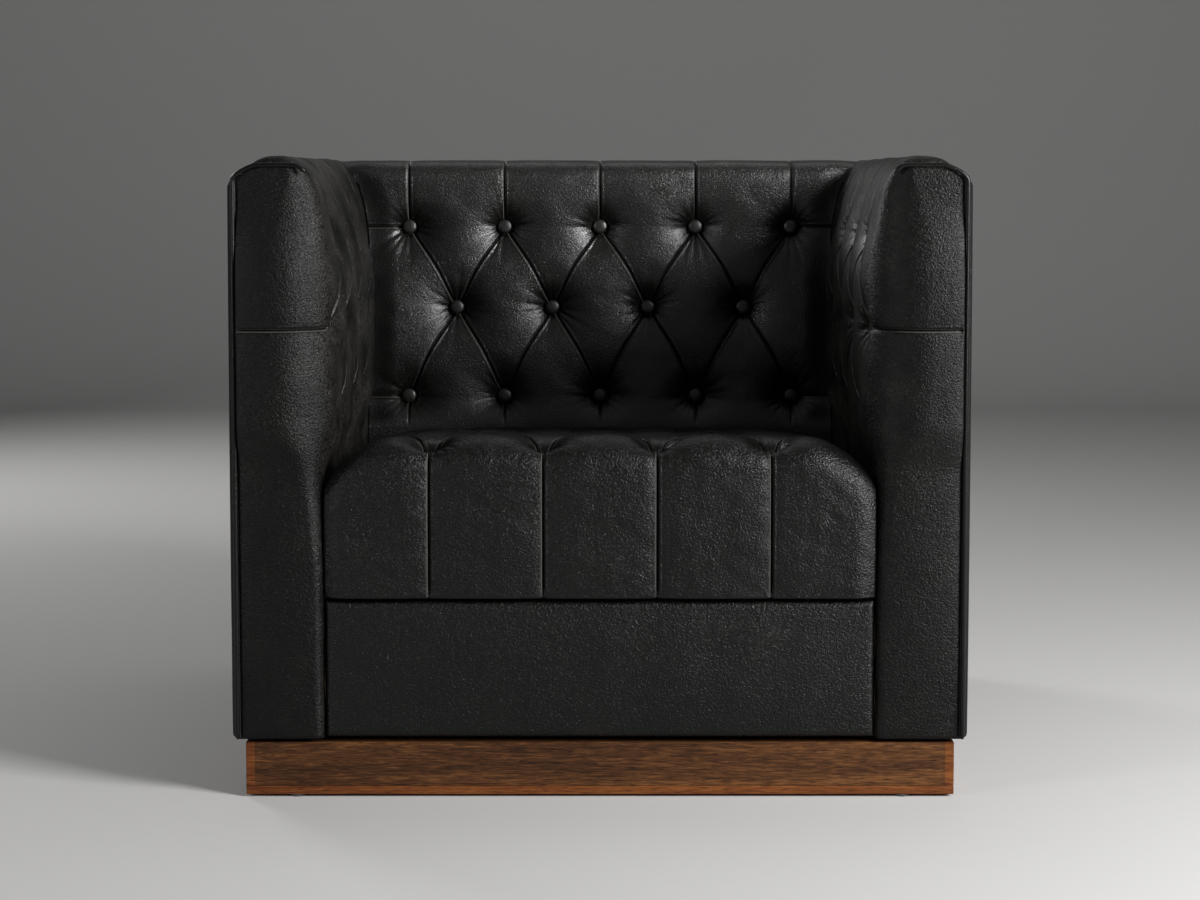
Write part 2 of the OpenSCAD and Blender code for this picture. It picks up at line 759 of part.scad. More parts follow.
// Back pad
back_us = [for (x = subdivide(cushion_knots(), fold_steps)) x / half_pitch];
function lean_at(z) = back_lean * clamp((z - seat_level_z) / (edge_z - seat_level_z), 0, 1);
module back_pad() {
  rows = cover_rows(back_front, back_edge_d, back_crest_y, rear, back_rows, dome_power);
  grid = [for (r = rows) [for (u = back_us)
    let (
      x = u * half_pitch,
      roll = side_roll * (1 - ease((cover_side - abs(x)) / side_roll_w))
        * min(1, r[4] / edge_fold_share),
      depth = back_tuft_depth * r[4] * column_fade(u),
      d = depth * dip(puff(u, r[3], -u_edge, u_edge, 2)) + roll * (1 - r[6]),
      lean = r[5] > 0 ? 0 : lean_at(r[1])
    )
    [x, r[0] + lean + d * cos(r[2]), r[1] - d * sin(r[2])]
  ]];
  pad_solid(
    grid, back_us, [for (r = rows) r[3]],
    [[rear, shelf_z], [back_frame_y, shelf_z], [back_frame_y, pad_z]],
    [back_frame_y - back_foam_t / 2, shelf_z - top_lip_t]
  );
}
back_foam_low = [-seat_side + back_foam_inset, back_frame_y - back_foam_t, pad_z + foam_rise];
back_foam_high = [seat_side - back_foam_inset, back_frame_y, crest_z - foam_top_drop];
module inside_back_cover() {
  color([0.08, 0.075, 0.07]) difference() {
    back_pad();
    block(back_foam_low, back_foam_high + [0, cut, 0]);
  }
}
module back_foam() { color("khaki") block(back_foam_low, back_foam_high); }

// Arm pads, made as [along the depth, across the width, height] and then swapped over
arm_ys = concat(
  subdivide(concat([front], [for (u = [0:arm_u_last]) arm_tuft_y + u * half_pitch]), fold_steps),
  subdivide([back_front, back_crest_y, rear], top_steps)
);
arm_us = [for (y = arm_ys) (y - arm_tuft_y) / half_pitch + 1];
function arm_bulge_at(y, z) = arm_bulge
  * ease((z - seat_level_z) / arm_bulge_h) * ease((edge_z - z) / arm_bulge_h)
  * ease((y - front) / arm_tuft_inset) * ease((back_front - y) / half_pitch);
module arm_pad() {
  rows = cover_rows(arm_face, arm_crest_x - arm_face, arm_crest_x, frame_out, arm_rows, 2);
  grid = [for (r = rows) [for (y = arm_ys)
    let (
      u = (y - arm_tuft_y) / half_pitch + 1,
      before_back = ease((back_front - y) / (back_front - arm_y_last)),
      front_fade = mix(arm_front_fold_share, 1, ease((y - front) / arm_tuft_inset)),
      depth = arm_tuft_depth * r[4] * before_back * front_fade,
      d = depth * dip(puff(u, r[3], 1, 1 + arm_u_last, 2)) - arm_bulge_at(y, r[1]) * cos(r[2]),
      filled = r[5] > 0 ? ease((y - back_front) / (back_crest_y - back_front)) : 0,
      side_drop = (crest_z - r[1]) * (1 - filled * (r[6] > 0 ? 0 : 1)),
      rear_share = clamp((y - back_crest_y) / (rear - back_crest_y), 0, 1),
      rear_drop = (crest_z - seam_z) * pow(rear_share, dome_power),
      over_top = side_drop + rear_drop * (1 - min(1, side_drop / (crest_z - seam_z))),
      fall = r[5] > 0 ? over_top : crest_z - r[1]
    )
    [y, r[0] + d * cos(r[2]), crest_z - fall - d * sin(r[2])]
  ]];
  mirror([1, -1, 0]) pad_solid(
    grid, arm_us, [for (r = rows) r[3]],
    [[frame_out, shelf_z], [frame_in, shelf_z], [frame_in, pad_z]],
    [frame_in - arm_foam_t / 2, shelf_z - top_lip_t]
  );
}
arm_foam_low = [frame_in - arm_foam_t, front + arm_foam_inset, pad_z + foam_rise];
arm_foam_high = [frame_in, back_front - arm_foam_inset, crest_z - foam_top_drop];
module right_inside_arm_cover() {
  color([0.08, 0.075, 0.07]) difference() {
    arm_pad();
    block(arm_foam_low, arm_foam_high + [cut, 0, 0]);
    // Beside the back frame only the part over the top board is left
    block([arm_face - cut, back_frame_y, pad_z - cut], [frame_in + cut, rear + cut, shelf_z]);
  }
}
module right_arm_foam() { color("khaki") block(arm_foam_low, arm_foam_high); }
module left_inside_arm_cover() { left() right_inside_arm_cover(); }
module left_arm_foam() { left() right_arm_foam(); }

// Arm fronts: a pad whose outline follows the arch of the arm
function arch(x) = x < arm_crest_x
  ? edge_z + top_edge_h * sqrt(1 - pow((arm_crest_x - x) / (arm_crest_x - arm_face), 2))
  : crest_z - (crest_z - seam_z) * pow((x - arm_crest_x) / (frame_out - arm_crest_x), 2);
// Height of the piping that curves over the arm front
function welt_line(x) = arch(x)
  - max(pad_rim, welt_drop * (1 - pow(max(0, x - arm_crest_x) / (frame_out - arm_crest_x), 2)));
module right_arm_front() {
  xs = [for (s = arm_front_shares) mix(arm_face, frame_out, s)];
  fold_z = arm_rows[1];
  rows = concat(
    [for (t = below_fold_shares) mix(deck_z, fold_z - front_fold_h, t)],
    [fold_z - front_fold_h, fold_z, fold_z + front_fold_h],
    [for (t = above_fold_shares) mix(fold_z + front_fold_h, edge_z - front_fold_h, t)]
  );
  function pad_t(x, share, fold) =
    let (
      s = (x - arm_face) / (frame_out - arm_face),
      round_in = sqrt(1 - pow(1 - min(1, (x - arm_face) / front_pad_t), 2))
    )
    pad_rim + (front_pad_t - pad_rim) * round_in + front_crown * crown(s) * crown(share) - fold;
  grid = concat(
    [for (z = rows) [for (x = xs)
      let (fold = z == fold_z ? front_fold_d * ease((x - arm_face) / front_pad_t) : 0)
      [x, front - pad_t(x, (z - deck_z) / (crest_z - deck_z), fold), z]]],
    [for (t = to_welt_shares) [for (x = xs)
      let (z = mix(edge_z - front_fold_h, welt_line(x), t))
      [x, front - pad_t(x, (z - deck_z) / (crest_z - deck_z), 0), z]]],
    [[for (x = xs) [x, front - pad_t(x, 0, 0), welt_line(x)]]],
    [[for (x = xs) [x, front - pad_t(x, 0, 0) / 2, mix(welt_line(x), arch(x), rim_share)]]],
    [[for (x = xs) [x, front - pad_rim, arch(x)]]]
  );
  color([0.09, 0.085, 0.08]) panel_solid(grid, front);
}
module left_arm_front() { left() right_arm_front(); }

// Panels
module front_rail_cover() {
  color([0.09, 0.085, 0.08]) puffed_panel(
    [-cover_side, cover_side], [deck_z, pad_z - rail_cover_gap], front, rail_cover_t, front_crown
  );
}
module right_outside_panel() {
  color([0.09, 0.085, 0.08]) rotate([0, 0, 90]) puffed_panel(
    [pad_front, rear + rear_panel_t / 2], [deck_z, shelf_z], -frame_out, side_panel_t, side_crown
  );
}
module left_outside_panel() { left() right_outside_panel(); }
module outside_back_panel() {
  color([0.09, 0.085, 0.08]) rotate([0, 0, 180]) puffed_panel(
    [-frame_out, frame_out], [deck_z, shelf_z], -rear, rear_panel_t, rear_crown
  );
}

// Covered buttons, pulled down into the tufts on their pointed shanks
module button(tuft_depth) {
  r = button_d / 2;
  under = soft + max(r, button_shank_share * tuft_depth);
  rotate_extrude() polygon(concat(
    [[0, soft], [r, under], [r, under + button_edge]],
    [for (a = [30, 60]) [r * cos(a), under + button_edge + button_dome * sin(a)]],
    [[0, under + button_edge + button_dome]]
  ));
}
module back_buttons() {
  color([0.1, 0.095, 0.09]) for (v = [0:2], u = [-u_edge:u_edge]) if ((u + v) % 2 == 0)
    translate([u * half_pitch, back_front + lean_at(back_rows[v]) + back_tuft_depth, back_rows[v]])
      rotate([90, 0, 0]) button(back_tuft_depth);
}
module right_arm_buttons() {
  color([0.1, 0.095, 0.09]) for (v = [0:2], u = [0:arm_u_last]) if ((u + v) % 2 == 1) {
    y = arm_tuft_y + u * half_pitch;
    fade = mix(arm_front_fold_share, 1, ease((y - front) / arm_tuft_inset));
    if (y < back_front - tuft_edge_keep / 2)
      translate([arm_face - arm_bulge_at(y, arm_rows[v]) + arm_tuft_depth * fade, y, arm_rows[v]])
        rotate([0, -90, 0]) button(arm_tuft_depth);
  }
}
module left_arm_buttons() { left() right_arm_buttons(); }

// Piping
welt_out = welt_d / 2 + soft;
module top_welt() {
  x = frame_out + welt_out;
  y = rear + welt_out;
  z = shelf_z + welt_out;
  corner = [
    for (a = [0:30:90])
      [x - welt_corner + welt_corner * cos(a), y - welt_corner + welt_corner * sin(a), z]
  ];
  half = concat([[x, pad_front, z]], corner);
  color([0.07, 0.065, 0.06])
    bar(concat(half, [for (p = reversed(half)) [-p[0], p[1], p[2]]]), welt_d, [0, 0, 1], 8);
}
module right_front_welt() {
  x = frame_out + welt_out;
  y = pad_front - welt_out;
  hook = arm_face + hook_inset;
  arch_points = [for (t = [0:0.125:1])
    let (a = mix(hook, frame_out - welt_out, t)) [a, y, welt_line(a)]];
  corner = [for (a = [60:-30:0])
    [x - welt_corner + welt_corner * cos(a), y, seam_z - 2 * welt_corner + welt_corner * sin(a)]];
  color([0.07, 0.065, 0.06]) bar(concat(arch_points, corner, [[x, y, deck_z]]), welt_d, [0, 1, 0], 8);
}
module left_front_welt() { left() right_front_welt(); }
module rear_corner_welts() {
  color([0.07, 0.065, 0.06]) for (sx = [-1, 1])
    translate([sx * (frame_out + welt_out), rear + rear_panel_t / 2 + welt_out, 0])
      rod(welt_d, deck_z, shelf_z);
}

plinth_front_board();
plinth_rear_board();
plinth_left_board();
plinth_right_board();
plinth_corner_blocks();
plinth_cross_rails();
floor_glides();
swivel_lower_plate();
swivel_lower_race();
lower_plate_screws();
king_pin();
king_pin_washer();
king_pin_nut();
swivel_balls();
swivel_ball_cage();
swivel_upper_race();
swivel_upper_plate();
upper_plate_screws();
dust_cover();
deck_board();
front_seat_rail();
rear_seat_rail();
left_seat_rail();
right_seat_rail();
seat_corner_blocks();
left_arm_posts();
right_arm_posts();
left_arm_rail();
right_arm_rail();
back_posts();
back_slats();
back_top_board();
seat_springs();
spring_clips();
spring_felt();
seat_foam();
back_foam();
left_arm_foam();
right_arm_foam();
seat_cover();
front_rail_cover();
inside_back_cover();
left_inside_arm_cover();
right_inside_arm_cover();
left_arm_front();
right_arm_front();
left_outside_panel();
right_outside_panel();
outside_back_panel();
back_buttons();
left_arm_buttons();
right_arm_buttons();
top_welt();
left_front_welt();
right_front_welt();
rear_corner_welts();
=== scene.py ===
# Tufted leather swivel chair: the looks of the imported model. The shapes below are worked out
# in millimetres, Z up, front towards -Y, and put into the meshes in metres.
import math
import bpy
import numpy as np
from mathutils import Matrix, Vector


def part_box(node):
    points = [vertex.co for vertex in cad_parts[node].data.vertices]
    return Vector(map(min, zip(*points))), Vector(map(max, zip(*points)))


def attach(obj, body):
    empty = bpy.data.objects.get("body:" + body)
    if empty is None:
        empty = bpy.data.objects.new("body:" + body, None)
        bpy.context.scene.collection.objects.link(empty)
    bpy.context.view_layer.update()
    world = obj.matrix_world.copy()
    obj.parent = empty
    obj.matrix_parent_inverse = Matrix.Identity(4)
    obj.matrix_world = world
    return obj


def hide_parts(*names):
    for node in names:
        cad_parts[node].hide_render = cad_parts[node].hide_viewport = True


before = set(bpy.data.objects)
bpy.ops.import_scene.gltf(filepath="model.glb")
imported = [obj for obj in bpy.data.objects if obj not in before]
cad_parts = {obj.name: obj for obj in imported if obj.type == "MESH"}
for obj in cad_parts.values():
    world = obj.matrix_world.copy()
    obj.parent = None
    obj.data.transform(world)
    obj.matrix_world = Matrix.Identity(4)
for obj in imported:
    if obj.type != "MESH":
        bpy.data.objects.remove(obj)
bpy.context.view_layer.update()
bpy.context.scene.view_settings.view_transform = "Standard"
print("frame loaded:", len(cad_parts), "nodes")

# Places shared by several pieces, as the frame has them
body = {
    "seatSide": 321.7, "armFace": 322.3, "armCrestX": 371.0, "frameIn": 354.0, "frameOut": 420.0,
    "front": -372.0, "padFront": -388.0, "backFront": 165.0, "backCrestY": 240.0,
    "backFrameY": 245.0, "rear": 385.0,
    "deckZ": 70.0, "padZ": 236.0, "seatLevelZ": 380.0, "edgeZ": 700.0, "crestZ": 750.0,
    "seamZ": 728.0, "panelTop": 722.0, "shelfZ": 718.0,
}
pitch = 66.5                                          # half the distance between tufts
clear = 0.3                                           # gap between leather and hidden wood
quarterTurns = ((1, 0), (0, 1), (-1, 0), (0, -1))     # cosine and sine of each


# Smooth step: 3 t^2 - 2 t^3, held at 0 and 1 outside
def ease(t):
    t = np.clip(t, 0, 1)
    return t * t * (3 - 2 * t)


# Straight mix: a + (b - a) t
def mix(a, b, t):
    return a + (b - a) * t


# |sin(pi t)|, 0 at every whole number
def wave(t):
    return np.abs(np.sin(np.pi * t))


# Bell: exp(-(t / width)^2)
def bell(t, width):
    return np.exp(-(t / width) ** 2)


# Roundness across a panel: the square root of sin(pi t)
def crown(t):
    return np.sqrt(np.clip(np.sin(np.pi * np.clip(t, 0, 1)), 0, 1))


# Even shares of a way, up to 1 and without its start
def shares(count):
    return np.linspace(0, 1, count + 1)[1:]


# Places between knots, with the given number of even steps between each pair
def steps(knots, counts):
    parts = [np.linspace(a, b, n, endpoint=False) for a, b, n in zip(knots, knots[1:], counts)]
    return np.concatenate(parts + [[knots[-1]]])


# Points from their three coordinates, spread to one shape
def spread(x, y, z):
    return np.stack(np.broadcast_arrays(x, y, z), -1)


# One column of numbers, from parts that follow each other
def column(*parts):
    return np.concatenate(parts)[:, None]


# Slow seeded unevenness, about -1 to 1: sine waves in random directions, added up and scaled
def unevenness(a, b, wavelength, seed, count=7):
    rng = np.random.default_rng(seed)
    total = 0
    for angle, phase, stretch in rng.uniform([0, 0, 0.7], [2 * np.pi, 2 * np.pi, 1.5], (count, 3)):
        total = total + np.sin(
            2 * np.pi * (a * np.cos(angle) + b * np.sin(angle)) / (wavelength * stretch) + phase)
    return total / count ** 0.5 / 1.5


# Waves of leather over its padding: broad ones, and finer ones on them
def undulation(a, b, wavelength, seed):
    return (unevenness(a, b, wavelength, seed)
            + 0.42 * unevenness(a, b, 0.38 * wavelength, seed + 1, 11))


# Two triangles for each cell of a grid; rising cells are cut from their first corner
def gridFaces(rows, cols, rising=None):
    index = np.arange(rows * cols).reshape(rows, cols)
    a, b, c, d = (part.ravel() for part in (
        index[:-1, :-1], index[:-1, 1:], index[1:, :-1], index[1:, 1:]))
    up = np.ones(len(a), bool) if rising is None else np.asarray(rising).ravel()
    return np.concatenate([
        np.where(up[:, None], np.stack([a, b, d], 1), np.stack([a, b, c], 1)),
        np.where(up[:, None], np.stack([a, d, c], 1), np.stack([b, d, c], 1)),
    ])


# Border of a grid, once round, bottom row first
def gridLoop(rows, cols):
    index = np.arange(rows * cols).reshape(rows, cols)
    return np.concatenate([index[0, :-1], index[:-1, -1], index[-1, :0:-1], index[:0:-1, 0]])


# Closes a shell: each border point is joined to its inner place, and those to one hub
def closeShell(points, faces, loop, inner, hub):
    n, m = len(points), len(loop)
    near, far = n + np.arange(m), n + np.roll(np.arange(m), -1)
    after = np.roll(loop, -1)
    closing = np.concatenate([
        np.stack([after, loop, near], 1), np.stack([after, near, far], 1),
        np.stack([far, near, np.full(m, n + m)], 1),
    ])
    return np.concatenate([points, inner, [hub]]), np.concatenate([faces, closing])


# The points of a grid's border, once round
def borderOf(points):
    return points.reshape(-1, 3)[gridLoop(*points.shape[:2])]


# Closes a grid: its border is joined to the inner places given, and those to one hub
def closeGrid(points, inner, hub, rising=None):
    shape = points.shape[:2]
    return closeShell(points.reshape(-1, 3), gridFaces(*shape, rising), gridLoop(*shape),
                      inner, hub)


# Joins a stack of rings, and closes it with one point below the first and one past the last
def closeRings(rings, first, last):
    n, sides = rings.shape[:2]
    k = np.arange(sides)
    after = (k + 1) % sides
    base = (np.arange(n - 1) * sides)[:, None]
    a, b, end = (base + k).ravel(), (base + after).ravel(), (n - 1) * sides
    faces = np.concatenate([
        np.stack([a, b, b + sides], 1), np.stack([a, b + sides, a + sides], 1),
        np.stack([after, k, np.full(sides, n * sides)], 1),
        np.stack([end + k, end + after, np.full(sides, n * sides + 1)], 1)])
    return np.concatenate([rings.reshape(-1, 3), [first, last]]), faces


# Rings of points round a path, in the plane square to it: centre + r (cos a up + sin a side)
def tube(path, radius, normal, sides=12):
    ahead = np.gradient(path, axis=0)
    ahead /= np.linalg.norm(ahead, axis=1)[:, None]
    up = np.broadcast_to(np.asarray(normal, float), path.shape)
    side = np.cross(up, ahead)
    angle = (2 * np.pi * np.arange(sides) / sides)[:, None]
    rings = path[:, None] + radius[:, None, None] * (
        np.cos(angle) * up[:, None] + np.sin(angle) * side[:, None])
    return closeRings(rings, path[0], path[-1])


# Adds several meshes up into one
def joined(parts):
    points, faces, start = [], [], 0
    for p, f in parts:
        points.append(p)
        faces.append(f + start)
        start += len(p)
    return np.concatenate(points), np.concatenate(faces)


# Mirrors a mesh across the middle and keeps its faces outwards
def mirrored(mesh):
    points, faces = mesh
    return points * [-1, 1, 1], faces[:, ::-1]


# Drops the points that no face uses, and tells which ones stay
def trimmed(points, faces):
    used = np.unique(faces)
    renumber = np.zeros(len(points), int)
    renumber[used] = np.arange(len(used))
    return (points[used], renumber[faces]), used


# Puts a mesh into the scene as a new object
def addObject(name, mesh, material, smooth=True):
    points, faces = mesh
    data = bpy.data.meshes.new(name)
    data.from_pydata((np.asarray(points) * 0.001).tolist(), [], np.asarray(faces).tolist())
    if smooth:
        data.shade_smooth()
    data.materials.append(material)
    made = bpy.data.objects.new(name, data)
    bpy.context.scene.collection.objects.link(made)
    return made


# Adds a piece that rides on a body and stands for the nodes named. Its marks are vectors at
# its points, which the leather reads: see tuftMarks.
def addPiece(name, mesh, material, replaced, ridesOn="chair", marks=None,
             smooth=True):
    piece = addObject(name, mesh, material, smooth)
    for mark, given in (marks or {}).items():
        values = np.zeros((len(mesh[0]), 3), np.float32)
        values[:len(given)] = given
        piece.data.attributes.new(mark, "FLOAT_VECTOR", "POINT").data.foreach_set(
            "vector", values.ravel())
    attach(piece, ridesOn)
    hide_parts(*replaced)
    print("piece", name, len(piece.data.polygons), "faces")
    return piece


# A socket that can be reckoned with: each operator adds the Math node it needs
class Wire:
    def __init__(self, finish, socket):
        self.finish, self.socket = finish, socket

    def __add__(self, other): return self.finish.sum("ADD", self, other)
    def __radd__(self, other): return self.finish.sum("ADD", other, self)
    def __sub__(self, other): return self.finish.sum("SUBTRACT", self, other)
    def __rsub__(self, other): return self.finish.sum("SUBTRACT", other, self)
    def __mul__(self, other): return self.finish.sum("MULTIPLY", self, other)
    def __rmul__(self, other): return self.finish.sum("MULTIPLY", other, self)
    def __abs__(self): return self.finish.sum("ABSOLUTE", self)

    # exp(-((self - place) / width)^2)
    def bell(self, place, width):
        away = (self - place) * (1 / width)
        return self.finish.sum("EXPONENT", away * away * -1.0)


# The tree of one material or world, and the nodes most finishes need
class Finish:
    def __init__(self, owner):
        self.owner = owner
        owner.use_nodes = True
        self.tree = owner.node_tree
        self.tree.nodes.clear()

    # Adds a node, sets or links its inputs, and gives one of its outputs
    def node(self, kind, settings, inputs, output=0):
        made = self.tree.nodes.new("ShaderNode" + kind)
        for key, value in settings.items():
            if key == "stops":
                ramp = made.color_ramp.elements
                while len(ramp) < len(value):
                    ramp.new(0.5)
                for element, (at, colour) in zip(ramp, value):
                    element.position, element.color = at, (*colour, 1)
            else:
                setattr(made, key, value)
        for key, value in inputs.items():
            if isinstance(value, Wire):
                self.tree.links.new(value.socket, made.inputs[key])
            else:
                made.inputs[key].default_value = value
        return None if output is None else Wire(self, made.outputs[output])

    # One step of arithmetic on sockets and numbers
    def sum(self, operation, *values):
        return self.node("Math", {"operation": operation}, dict(enumerate(values)))

    # Smooth noise, read at the place or at another vector
    def noise(self, scale, detail=3, roughness=0.5, at=None, distortion=0.0):
        return self.node("TexNoise", {}, {
            "Vector": at or self.place, "Scale": scale, "Detail": detail,
            "Roughness": roughness, "Distortion": distortion})

    # Distance to the nearest cell point, sharp or smoothed
    def cells(self, scale, at=None, smoothness=None):
        inputs = {"Vector": at or self.place, "Scale": scale}
        if smoothness is None:
            return self.node("TexVoronoi", {"feature": "F1"}, inputs, "Distance")
        return self.node("TexVoronoi", {"feature": "SMOOTH_F1"},
                         inputs | {"Smoothness": smoothness}, "Distance")

    # The place, times a scale for each axis
    def stretched(self, scale):
        return self.node("Mapping", {"vector_type": "POINT"},
                         {"Vector": self.place, "Scale": scale})

    # A mark of the mesh, whole and as its three parts
    def parts(self, mark):
        whole = self.node("Attribute", {"attribute_name": mark}, {}, "Vector")
        return whole, [self.node("SeparateXYZ", {}, {"Vector": whole}, axis) for axis in "XYZ"]

    # Colour read between stops, each a position and a colour
    def ramp(self, factor, stops):
        return self.node("ValToRGB", {"stops": stops}, {"Fac": factor})

    # Colour first + (second - first) factor
    def blend(self, factor, first, second):
        first, second = (c if isinstance(c, Wire) else (*c, 1) for c in (first, second))
        return self.node("Mix", {"data_type": "RGBA"}, {0: factor, 6: first, 7: second}, 2)

    # Direction of the surface, tipped by the slope of height times distance
    def bump(self, height, distance, normal=None):
        inputs = {"Height": height, "Distance": distance, "Strength": 1.0}
        return self.node("Bump", {}, inputs | ({"Normal": normal} if normal else {}))

    # Joins the sockets given to the surface, and gives the material
    def done(self, **sockets):
        shader = self.node("BsdfPrincipled", {}, {
            key.replace("_", " "): value for key, value in sockets.items()}, "BSDF")
        self.node("OutputMaterial", {}, {"Surface": shader}, None)
        return self.owner


# A new material whose patterns lie in the coordinates of its object
def newFinish(name):
    f = Finish(bpy.data.materials.new(name))
    f.place = f.node("TexCoord", {}, {}, "Object")
    return f


# A colour times a share
def dimmed(colour, share):
    return tuple(c * share for c in colour)


leatherFinish = {
    "dark": (0.0010, 0.0009, 0.0008), "light": (0.0086, 0.0081, 0.0073),
    "handled": (0.056, 0.053, 0.048),         # painted light: lighter leather on the arms' inner faces
    "worn": (0.13, 0.123, 0.113), "wornShare": 0.85,     # rubbed edges of the folds, lightened as wear and as a painted highlight
    "mottleScale": 17.0, "mottleMiddle": 0.37, "mottleContrast": 2.7,
    "wanderScale": 140.0, "wander": 0.004,    # what bends the rows of pebbles
    "pebbleScale": 430.0, "fineScale": 1000.0, "pebbleShare": 0.72, "pebbleHeight": 0.00066,
    "creaseScale": 240.0, "creaseStretch": 1.7, "creaseHeight": 0.00090,
    "topsBase": 1.15, "topsFall": 1.9, "topsLeast": 0.3,     # how the pebbles' tops lighten: grain tone, and painted highlight
    "foldReach": 8.0, "foldGroove": 1.6, "foldGrooveWidth": 0.75,
    "foldEdge": 0.5, "foldEdgePlace": 1.6, "foldEdgeWidth": 0.42,      # the crisp side
    "foldRoll": 0.55, "foldRollPlace": 3.6, "foldRollWidth": 1.4,      # the soft side
    "spokes": 3.3, "spokeHeight": 1.5,        # radial creases round the tufts
    "taut": 0.75, "tautShine": 0.06, "foldShine": 0.1,       # less grain, more shine
    "formHeight": 0.001,
    "roughness": 0.22, "roughnessRange": 0.15, "specular": 0.25,
}


# Black leather: pebbles and fine creases in the bump, and in the colour dull patches whose pebbles
# have lighter tops, partly painted highlight. A fold is a narrow groove, darkened as painted
# shade, with a crisp edge on one side, lightened as wear and as a painted highlight, and a soft
# roll on the other;
# round a tuft the leather is stretched smooth, with radial creases. The arms' inner faces are
# lighter, as painted light.
def leather(name, changes):
    s, f = leatherFinish | changes, newFinish(name)
    _, (near, strength, pull) = f.parts("fold")
    spoke, _ = f.parts("spoke")
    _, (crisp, soft, handled) = f.parts("flap")
    gap = (1 - near) * s["foldReach"]
    groove = gap.bell(0.0, s["foldGrooveWidth"]) * strength
    lip = gap.bell(s["foldEdgePlace"], s["foldEdgeWidth"]) * strength * crisp
    roll = gap.bell(s["foldRollPlace"], s["foldRollWidth"]) * strength * soft
    streaks = f.noise(s["spokes"], 2, 0.6, spoke) - 0.5
    shape = (lip * s["foldEdge"] + roll * s["foldRoll"] - groove * s["foldGroove"]
             + streaks * pull * s["spokeHeight"])
    patches = (f.noise(s["mottleScale"], 6, 0.66) - s["mottleMiddle"]) * s["mottleContrast"]
    wander = f.node("TexNoise", {}, {
        "Vector": f.place, "Scale": s["wanderScale"], "Detail": 2.0}, "Color")
    bent = f.node("VectorMath", {"operation": "MULTIPLY_ADD"}, {
        0: wander, 1: (s["wander"],) * 3, 2: f.place})
    creases = f.noise(1.0, 3, 0.55, f.stretched(
        (s["creaseScale"], s["creaseScale"], s["creaseScale"] * s["creaseStretch"])), 1.0)
    grain = (f.cells(s["pebbleScale"], bent, 0.35) * s["pebbleShare"]
             + f.cells(s["fineScale"], bent) * (1 - s["pebbleShare"]))
    slack = 1 - f.sum("MAXIMUM", pull * s["taut"], lip)
    formed = f.bump(shape, s["formHeight"])
    pebbled = f.bump((1 - grain) * slack, s["pebbleHeight"], formed)
    # Painted light: the arms' inner faces are lightened towards the inner light colour.
    plain = f.blend(handled, s["light"], s["handled"])
    # The pebbles' tops are lighter than their hollows: partly the grain's tone, partly painted
    # highlight and shade.
    tops = s["topsBase"] - grain * s["topsFall"]
    mottled = f.blend(patches * (s["topsLeast"] + tops), s["dark"], plain)
    # The crisp fold edges are lightened towards the worn colour: wear along the edges, and a
    # painted highlight.
    rubbedAndHighlighted = f.blend(lip * s["wornShare"], mottled, s["worn"])
    rough = s["roughness"] + (1 - patches) * s["roughnessRange"]
    return f.done(
        # The base colour is darkened in the fold grooves: painted shade.
        Base_Color=f.blend(groove, rubbedAndHighlighted, s["dark"]),
        Normal=f.bump(creases * slack, s["creaseHeight"], pebbled),
        Specular_IOR_Level=s["specular"],
        Roughness=rough - pull * s["tautShine"] - lip * s["foldShine"])


# Each streak: scale along and across the grain, detail, roughness, distortion
walnutFinish = {
    "walnut": ((0.020, 0.0072, 0.0022), (0.058, 0.0215, 0.0064), (0.142, 0.057, 0.0170)),
    "lipping": ((0.064, 0.0155, 0.0040), (0.118, 0.0340, 0.0076), (0.190, 0.064, 0.0150)),
    "stops": (0.38, 0.5, 0.63), "halfX": 0.415, "halfY": 0.383, "edgeWidth": 0.0105,
    "broad": (2.2, 40.0, 5, 0.62, 0.35), "fibres": (34.0, 480.0, 3, 0.7, 0.6),
    "pores": (70.0, 700.0, 2, 0.5, 0.0), "fibreHeight": 0.00028,
    "broadShare": 0.42, "poreStart": 0.55, "poreContrast": 5.0, "poreDark": 0.3,
    "edgeSharpness": 2000.0, "roughness": 0.46, "roughnessRange": 0.14, "specular": 0.18,
}


# Walnut whose fibres run along X or Y, with a redder strip at each end of the board: the mix
# of broad and fine streaks is read from a ramp, and the pores darken it
def walnut(grade, along):
    s, f = walnutFinish, newFinish(grade + along)
    broad, fibres, pores = (
        f.noise(1.0, detail, rough, f.stretched(
            (long, across, across) if along == "X" else (across, long, across)), distortion)
        for long, across, detail, rough, distortion in (s["broad"], s["fibres"], s["pores"]))
    end = abs(f.node("SeparateXYZ", {}, {"Vector": f.place}, along)) - (
        s["half" + along] - s["edgeWidth"])
    figure = broad * s["broadShare"] + fibres * (1 - s["broadShare"])
    board, edge = (f.ramp(figure, list(zip(s["stops"], s[kind]))) for kind in (grade, "lipping"))
    colour = f.blend(
        (pores - s["poreStart"]) * s["poreContrast"],
        f.blend(end * s["edgeSharpness"], board, edge), dimmed(s[grade][0], s["poreDark"]))
    return f.done(
        Base_Color=colour, Roughness=s["roughness"] + fibres * s["roughnessRange"],
        Specular_IOR_Level=s["specular"],
        Normal=f.bump(fibres * 0.5 + pores * 0.5, s["fibreHeight"]))


timberFinish = {
    "across": 30.0, "along": 1.8, "fibreRatio": 8, "ringShare": 0.6, "stops": (0.35, 0.65),
    "roughness": 0.62, "roughnessRange": 0.15, "fibreHeight": 0.00025,
}


